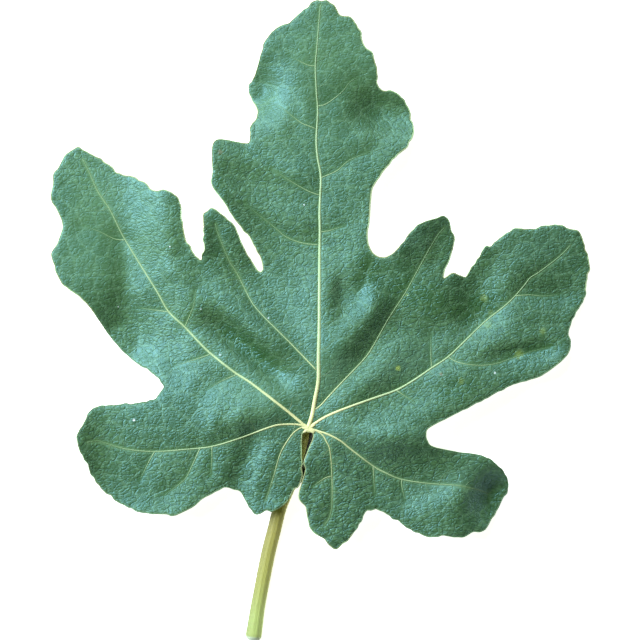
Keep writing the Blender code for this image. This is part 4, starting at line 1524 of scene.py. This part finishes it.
@dataclass
class UpperVeins:
    """The pale veins of the upper face: tapered cords half sunk in the blade, and a knot where they meet.

    pressed is how far the blade's finer upper face lies under its solid's.
    """

    form: BladeForm
    spacing: float = 1.0
    sides: int = 8
    flatness: float = 0.75
    sink: float = 0.3
    taper: float = 1.1
    hub_reach: float = 20.0
    side_radii: Pair = (0.17, 0.07)
    twig_spacing: float = 4.4
    twig_length: float = 6.5
    twig_radius: float = 0.09
    twig_end: float = 0.03
    twig_seed: int = 5
    twig_lean: Pair = (0.2, 1.0)
    twig_lengths: Pair = (0.5, 1.2)
    twig_fade: Pair = (0.78, 0.93)
    side_fade: Pair = (0.48, 1.0)
    fade_bend: float = 1.5
    full_cord: float = 0.5
    thin_fade: float = 0.5
    tip_fade: float = 0.82
    thin_tip_fade: float = 0.15
    pressed: float = 0.07
    knot_points: int = 72
    knot_core: float = 1.35
    knot_arm: float = 2.1
    knot_arm_least: float = 0.3
    knot_arm_width: float = 0.25
    knot_start: float = 3.0
    knot_middle: Pair = (0.3, 0.2)
    knot_share: tuple = (1.0, 1.0, 0.85, 0.55, 0.25)
    knot_lift: tuple = (-0.7, -0.1, 0.1, 0.24, 0.3)
    knot_fade: tuple = (0.4, 0.4, 0.25, 0.05, 0.0)
    knot_poles: Pair = (-0.8, 0.3)

    def cord(self, path: Any, radii: Pair, fade: Pair) -> Surface:
        """One tapered cord along a path in plan, lying on the upper face.

        Args:
            path: the path.
            radii: its radius at both ends.
            fade: how far it has faded into the blade's green at both ends.

        Returns:
            The cord.
        """
        plan = spaced(path, self.spacing)
        share = np.linspace(0, 1, len(plan))
        radius = radii[1] + (radii[0] - radii[1]) * (1 - share) ** self.taper
        height = self.form.top(plan) - self.pressed - self.sink * radius
        surface = tube(np.column_stack([plan, height]), radius, self.sides, self.flatness)
        ring_share = np.concatenate([np.repeat(share, self.sides), share[[0, -1]]])
        surface.values = {
            "fade": fade[0] + (fade[1] - fade[0]) * ring_share**self.fade_bend,
            "hub": self.at_hub(surface.points),
        }
        return surface

    def at_hub(self, points: Array) -> Array:
        """1 where the veins meet, falling off round it."""
        return bell(np.linalg.norm(points[:, :2], axis=1), self.hub_reach)

    def fading(self, vein: Vein) -> Pair:
        """How far a main vein has faded into the blade's green at its two ends: a thin one more."""
        thin = 1 - min(vein.cord[0] / self.full_cord, 1.0)
        return self.thin_fade * thin, self.tip_fade + self.thin_tip_fade * thin

    def knot(self) -> Surface:
        """The flat star where the veins meet, its arms drawn out along them; it is closed below.

        Its reach at each angle is its core plus an arm of Gaussian shape towards each vein.
        """
        count, rows = self.knot_points, len(self.knot_share)
        turn = np.linspace(0, 2 * np.pi, count, endpoint=False)
        reach = np.full(count, self.knot_core)
        for vein in VEINS.values():
            start = np.array(vein.path[0])
            if np.linalg.norm(start) > self.knot_start:
                continue
            ahead = np.array(vein.path[2]) - start
            off = np.angle(np.exp(1j * (turn - np.arctan2(ahead[1], ahead[0]))))
            reach += self.knot_arm * (vein.cord[0] + self.knot_arm_least) * bell(off, self.knot_arm_width)
        arm = reach[None, :] * np.array(self.knot_share)[:, None]
        flat = np.stack([arm * np.cos(turn), arm * np.sin(turn)], 2) + np.array(self.knot_middle)
        ground = self.form.top(flat.reshape(-1, 2)).reshape(flat.shape[:2]) - self.pressed
        ring = np.dstack([flat, ground + np.array(self.knot_lift)[:, None]])
        below, above = self.knot_poles
        poles = [[*self.knot_middle, ground[0].min() + below], [*self.knot_middle, ground[-1].mean() + above]]
        points = np.vstack([ring.reshape(-1, 3), poles])
        fade = np.concatenate([np.repeat(self.knot_fade, count), [self.knot_fade[0], self.knot_fade[-1]]])
        return Surface(points, closed_walls(rows, count), {"fade": fade, "hub": self.at_hub(points)})

    def twigs(self) -> list[Surface]:
        """Short hair-thin side veins, on alternate sides of each main vein, fading out at once."""
        random = np.random.default_rng(self.twig_seed)
        made = []
        steps = np.linspace(0, 1, 4)[:, None]
        for vein in VEINS.values():
            line = spaced(vein.path, self.twig_spacing)
            ahead = unit(np.gradient(line, axis=0))
            for number in range(1, len(line) - 1):
                side = 1 if number % 2 else -1
                across = side * np.array([-ahead[number, 1], ahead[number, 0]])
                lean = ahead[number] * random.uniform(*self.twig_lean)
                length = self.twig_length * random.uniform(*self.twig_lengths)
                bend = across * steps * length + lean * steps**2 * length
                fade = (random.uniform(*self.twig_fade), 1.0)
                made.append(self.cord(line[number] + bend, (self.twig_radius, self.twig_end), fade))
        return made

    def build(self, finish: Material) -> list[Object]:
        """Makes the main veins with their knot, the side veins, and the twigs.

        Args:
            finish: their material.

        Returns:
            The three pieces.
        """
        main = [self.cord(vein.path + vein.tip, vein.cord, self.fading(vein)) for vein in VEINS.values()]
        sides = [self.cord(path, self.side_radii, self.side_fade) for path in SIDE_VEINS.values()]
        cords = {"main_veins": main + [self.knot()], "side_veins": sides, "vein_twigs": self.twigs()}
        return [
            piece(name, Surface.joined(parts).mesh(name), Slot.RIB, finish) for name, parts in cords.items()
        ]


@dataclass
class StalkAndRibs:
    """The stalk, which runs at its top into the ribs below the blade, grown into one body.

    ribs_begin is in radii from the stalk's centre line; ridges_rise, ridges_end, cut_face, slot_end and
    lee_top are shares of the stalk's length from the blade. The edge of the shade painted in the slot lies
    at lee_start across the stalk, from -1 on its left to 1 on its right, and moves right by lee_lean along
    its whole length.
    """

    form: BladeForm
    spacing: float = 1.2
    stalk_sides: int = 20
    rib_sides: int = 10
    lift: float = 0.5
    gap: float = 0.32
    side_radii: Pair = (0.62, 0.38)
    voxel: float = 0.32
    smoothing: int = 5
    smooth_factor: float = 0.5
    ridge: float = 0.03
    ridges: int = 11
    ridge_turn: float = 0.02
    fibres: int = 31
    floor: float = 0.02
    fewest: int = 3
    ribs_begin: Pair = (1.15, 1.6)
    ridges_rise: Pair = (0.05, 0.2)
    ridges_end: Pair = (0.94, 0.99)
    cut_face: Pair = (0.984, 0.999)
    least_reach: float = 0.1
    lee_start: float = 0.42
    lee_lean: float = 2.0
    lee_top: float = 0.06
    lee_edge: Pair = (-0.05, 0.08)
    lee_height: Pair = (-0.3, 0.5)
    slot_end: Pair = (0.22, 0.27)

    def rib(self, path: Any, radii: Pair) -> Surface | None:
        """One rib, its top sunk in the blade's lower face, ended where the blade leaves it no room.

        Args:
            path: its path in plan.
            radii: its radius at both ends.

        Returns:
            The rib, or none where there is no room for it at all.
        """
        plan = spaced(path, self.spacing)
        radius = np.linspace(*radii, len(plan))
        under = self.form.top(plan) - self.form.thickness * self.form.steepness(plan)
        axis = under - radius - self.gap + self.lift
        low = np.flatnonzero(axis - radius < self.floor)
        end = low[0] if len(low) else len(plan)
        if end < self.fewest:
            return None
        return tube(np.column_stack([plan, axis])[:end], radius[:end], self.rib_sides)

    def build(self, finish: Material) -> Object:
        """Makes the tubes, grows them together, and gives the stalk its ridges and its cut.

        The ridges are a sine of the angle round the stalk, turned a little along it.

        Args:
            finish: the material.

        Returns:
            The stalk with its ribs.
        """
        line = spaced(STALK, self.spacing)
        parts = [tube(line[:, :3], line[:, 3], self.stalk_sides)]
        parts += [self.rib(vein.path, vein.rib) for vein in VEINS.values()]
        parts += [self.rib(path, self.side_radii) for path in SIDE_VEINS.values()]
        mesh = Surface.joined([part for part in parts if part is not None]).mesh("stalk_tubes")
        whole = self.grown(mesh)
        near = near_line(whole.points[:, :2], line[:, :2])
        down, shares = near.share, np.linspace(0, 1, len(line))
        *centre, radius = (np.interp(down, shares, axis) for axis in line.T)
        from_axis = whole.points - np.stack(centre, 1)
        reach = np.linalg.norm(from_axis, axis=1) / radius
        start, end = self.ribs_begin
        on_stalk = smooth_step(-reach, -end, -start)
        around = np.arctan2(from_axis[:, 2], near.side * near.distance)
        wave = np.sin(around * self.ridges + near.along * self.ridge_turn)
        shaft = on_stalk * smooth_step(down, *self.ridges_rise) * (1 - smooth_step(down, *self.ridges_end))
        outward = from_axis / np.maximum(reach * radius, self.least_reach)[:, None]
        whole.points += outward * (self.ridge * wave * shaft)[:, None]
        whole.points[:, 2] = np.maximum(whole.points[:, 2], 0.0)
        whole.values = {
            "down": down, "rib": 1 - on_stalk, "fibre": 0.5 + 0.5 * np.sin(around * self.fibres) * on_stalk,
            "cut": smooth_step(down, *self.cut_face) * on_stalk,
            **self.shading(down, near.side * near.distance / radius, from_axis[:, 2], on_stalk),
        }
        made = piece("stalk_and_ribs_below", whole.mesh("stalk_and_ribs_below"), Slot.RIB, finish)
        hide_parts("stalk_and_ribs")
        return made

    def shading(self, down: Array, across: Array, above: Array,
                on_stalk: Array) -> dict[str, Array]:
        """Where shade is painted on the stalk: darker over its left side, and nearly black on its upper right
        in the slot's deep shade; the ribs have neither.

        Args:
            down: the share of the stalk travelled from the blade.
            across: the place across the stalk, from -1 on its left to 1 on its right.
            above: the height over its centre line.
            on_stalk: 1 on the stalk and 0 on the ribs.

        Returns:
            "unshaded_flank", 0 on its painted-dark left and 1 on its right, and "painted_slot_shade", 1 on
            its upper right in the slot.
        """
        edge = across - self.lee_start - self.lee_lean * (down - self.lee_top)
        in_slot = 1 - smooth_step(down, *self.slot_end)
        upper = smooth_step(above, *self.lee_height)
        return {
            "unshaded_flank": 1 - np.clip(0.5 - 0.5 * across, 0, 1) * on_stalk,
            "painted_slot_shade": smooth_step(edge, *self.lee_edge) * in_slot * upper * on_stalk,
        }

    def grown(self, mesh: Mesh) -> Surface:
        """The overlapping tubes as one body: remeshed in small cubes and smoothed.

        Args:
            mesh: the tubes.

        Returns:
            The body's surface.
        """
        trial = add_object("stalk_tubes", mesh)
        remesh = trial.modifiers.new("grow", "REMESH")
        remesh.mode = "VOXEL"
        remesh.voxel_size = self.voxel * MM
        smooth = trial.modifiers.new("smooth", "SMOOTH")
        smooth.factor = self.smooth_factor
        smooth.iterations = self.smoothing
        graph = bpy.context.evaluated_depsgraph_get()
        grown = bpy.data.meshes.new_from_object(trial.evaluated_get(graph))
        surface = read_mesh(grown)
        bpy.data.objects.remove(trial)
        bpy.data.meshes.remove(grown)
        return surface


@dataclass
class Hairs:
    """Short stiff hairs: slim three-sided points that stand on a piece's surface, each leaning at random."""

    seed: int = 11
    lean: float = 0.35
    lengths: Pair = (0.66, 1.33)
    sunk: float = 0.02
    lowest: float = 0.02

    def on(self, carrier: Object, name: str, count: int, length: float, radius: float,
           weight: Any, finish: Material, slot: Slot) -> Object:
        """Sets hairs at random on a piece.

        Args:
            carrier: the piece that they stand on.
            name: the hairs' name.
            count: how many.
            length: how long, in millimetres, give or take a third.
            radius: how thick at the foot.
            weight: a function of the triangles' middles and normals that says where hairs grow.
            finish: their material.
            slot: their slot.

        Returns:
            The hairs, as one piece.
        """
        random = np.random.default_rng(self.seed)
        surface = read_mesh(carrier.data)
        a, b, c = surface.points[surface.faces].transpose(1, 0, 2)
        normal = np.cross(b - a, c - a)
        area = np.linalg.norm(normal, axis=1)
        normal /= np.maximum(area, SMALLEST_AREA)[:, None]
        share = np.cumsum(area * weight((a + b + c) / 3, normal))
        chosen = np.searchsorted(share, random.uniform(0, share[-1], count))
        u, v = random.uniform(0, 1, (2, count, 1))
        over = (u + v) > 1
        u, v = np.where(over, 1 - u, u), np.where(over, 1 - v, v)
        foot = a[chosen] * (1 - u - v) + b[chosen] * u + c[chosen] * v
        out = normal[chosen]
        lean = random.normal(0, self.lean, (count, 3))
        ahead = unit(out + lean - out * (lean * out).sum(1)[:, None])
        side = unit(np.cross(ahead, random.normal(0, 1, (count, 3))))
        other = np.cross(ahead, side)
        turn = (np.arange(3) * 2 * np.pi / 3)[None, :, None]
        ring = foot[:, None] + radius * (np.cos(turn) * side[:, None] + np.sin(turn) * other[:, None])
        tip = foot + ahead * (length * random.uniform(*self.lengths, (count, 1)))
        tip[:, 2] = np.maximum(tip[:, 2], self.lowest)
        points = np.concatenate([ring - self.sunk * ahead[:, None], tip[:, None]], axis=1).reshape(-1, 3)
        shape = np.array([[0, 1, 3], [1, 2, 3], [2, 0, 3], [2, 1, 0]])
        faces = (np.arange(count)[:, None, None] * 4 + shape).reshape(-1, 3)
        return piece(name, Surface(points, faces).mesh(name), slot, finish)


@dataclass(frozen=True)
class Studio:
    """A plain pale floor, soft light from the upper left, and a camera straight above."""

    distance: float = 4.0
    picture_width: float = 0.21333
    middle: Pair = (-0.00007, 0.00014)
    focus_height: float = 0.006
    sensor: float = 36.0
    clip: Pair = (0.1, 100.0)
    half_floor: float = 3.0
    glow: float = 0.85
    floor_colour: tuple = rgb(0.93, 0.93, 0.93)
    shade_colour: tuple = rgb(0.02, 0.02, 0.02)
    shade_middle: Pair = (-0.0042, -0.0450)
    shade_reach: Pair = (0.0085, 0.0098)
    shade_edge: Pair = (0.93, 1.0)
    lamp_size: float = 0.6
    lamp_colour: tuple = (0.90, 0.97, 1.14)
    lamps: tuple = (
        ("window_left", (-1.02, 0.30, 0.77), 26.6),
        ("window_top", (-0.22, 1.02, 0.76), 14.6),
    )
    sky_colour: tuple = rgb(1.0, 1.0, 0.60)
    sky_strength: float = 0.115

    def floor(self) -> None:
        """A wide flat pale floor that glows, but for the deep shade below the slot at the blade's base."""
        mesh = bpy.data.meshes.new("floor")
        half = self.half_floor
        corners = [(-half, -half, 0), (half, -half, 0), (half, half, 0), (-half, half, 0)]
        mesh.from_pydata(corners, [], [(0, 1, 2, 3)])
        material, graph, shader = new_material("floor", 0.9, Specular_IOR_Level=0.1)
        # painted shadow: a dark patch without glow on the floor below the slot
        x, y = self.shade_middle
        wide, long = self.shade_reach
        moved = graph.vector("ADD", graph.place(), (-x, -y, 0.0))
        scaled = graph.vector("MULTIPLY", moved, (1 / wide, 1 / long, 0.0))
        away = graph.add("VectorMath", {0: scaled}, operation="LENGTH").outputs["Value"]
        open_floor = graph.step(away, *self.shade_edge)
        pale = graph.mix(open_floor, self.shade_colour, self.floor_colour)
        glow = graph.mix(open_floor, rgb(0.0, 0.0, 0.0), rgb(1.0, 1.0, 1.0))
        graph.tree.links.new(pale, shader.inputs["Base Color"])
        graph.tree.links.new(glow, shader.inputs["Emission Color"])
        shader.inputs["Emission Strength"].default_value = self.glow
        mesh.materials.append(material)
        add_object("floor", mesh)

    def light(self, name: str, place: tuple, power: float) -> None:
        """A square soft light that faces the leaf.

        Args:
            name: its name.
            place: where it stands.
            power: its power in watts.
        """
        lamp = bpy.data.lights.new(name, "AREA")
        lamp.size = self.lamp_size
        lamp.energy = power
        lamp.color = self.lamp_colour
        made = add_object(name, lamp)
        made.location = place
        made.rotation_mode = "QUATERNION"
        made.rotation_quaternion = (-made.location).to_track_quat("-Z", "Y")

    def world(self) -> None:
        """Even pale light from all round."""
        world = bpy.data.worlds.new("studio")
        world.use_nodes = True
        background = world.node_tree.nodes["Background"]
        background.inputs["Color"].default_value = self.sky_colour
        background.inputs["Strength"].default_value = self.sky_strength
        bpy.context.scene.world = world

    def camera(self) -> None:
        """A long lens far above, so that the leaf's lobes keep their places in the picture."""
        lens = bpy.data.cameras.new("camera")
        lens.sensor_width = self.sensor
        lens.lens = self.sensor * (self.distance - self.focus_height) / self.picture_width
        lens.clip_start, lens.clip_end = self.clip
        made = add_object("camera", lens)
        made.location = (*self.middle, self.distance)
        bpy.context.scene.camera = made

    def build(self) -> None:
        """Sets up the whole studio."""
        self.floor()
        self.world()
        for lamp in self.lamps:
            self.light(*lamp)
        self.camera()
        scene = bpy.context.scene
        scene.view_settings.view_transform = "Standard"
        scene.view_settings.look = "None"


def everywhere(middles: Array, normals: Array) -> Array:
    """Hairs grow all over."""
    return np.ones(len(middles))


def underneath(middles: Array, normals: Array) -> Array:
    """Hairs grow where the surface looks down."""
    return smooth_step(-normals[:, 2], *LOOKS_DOWN)


def main() -> None:
    """Builds the leaf's pieces in order."""
    logging.basicConfig(level=logging.INFO, format="%(message)s")
    grain, clouds = leather_grain(), mottle()
    form = BladeForm()
    blade = Blade(form).build(UpperFinish().material(grain, clouds), LowerFinish().material(grain, clouds))
    cords = VeinFinish().material(clouds)
    rim = VeinFinish("margin_rim", pale=rgb(0.36, 0.55, 0.25), warm=rgb(0.30, 0.36, 0.15))
    margin = Margin(form).build(rim.material(clouds))
    UpperVeins(form).build(cords)
    stalk = StalkAndRibs(form).build(StalkFinish().material(clouds))
    hair = HairFinish().material(clouds)
    for name, carrier, count, length, radius, weight, slot in (
        ("stalk_hairs", stalk, 9000, 0.55, 0.022, everywhere, Slot.RIB),
        ("lower_hairs", blade, 16000, 0.4, 0.02, underneath, Slot.BLADE),
        ("margin_hairs", margin, 4000, 0.35, 0.02, everywhere, Slot.BLADE),
    ):
        Hairs().on(carrier, name, count, length, radius, weight, hair, slot)
    Studio().build()
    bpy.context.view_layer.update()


if __name__ == "__main__":
    main()
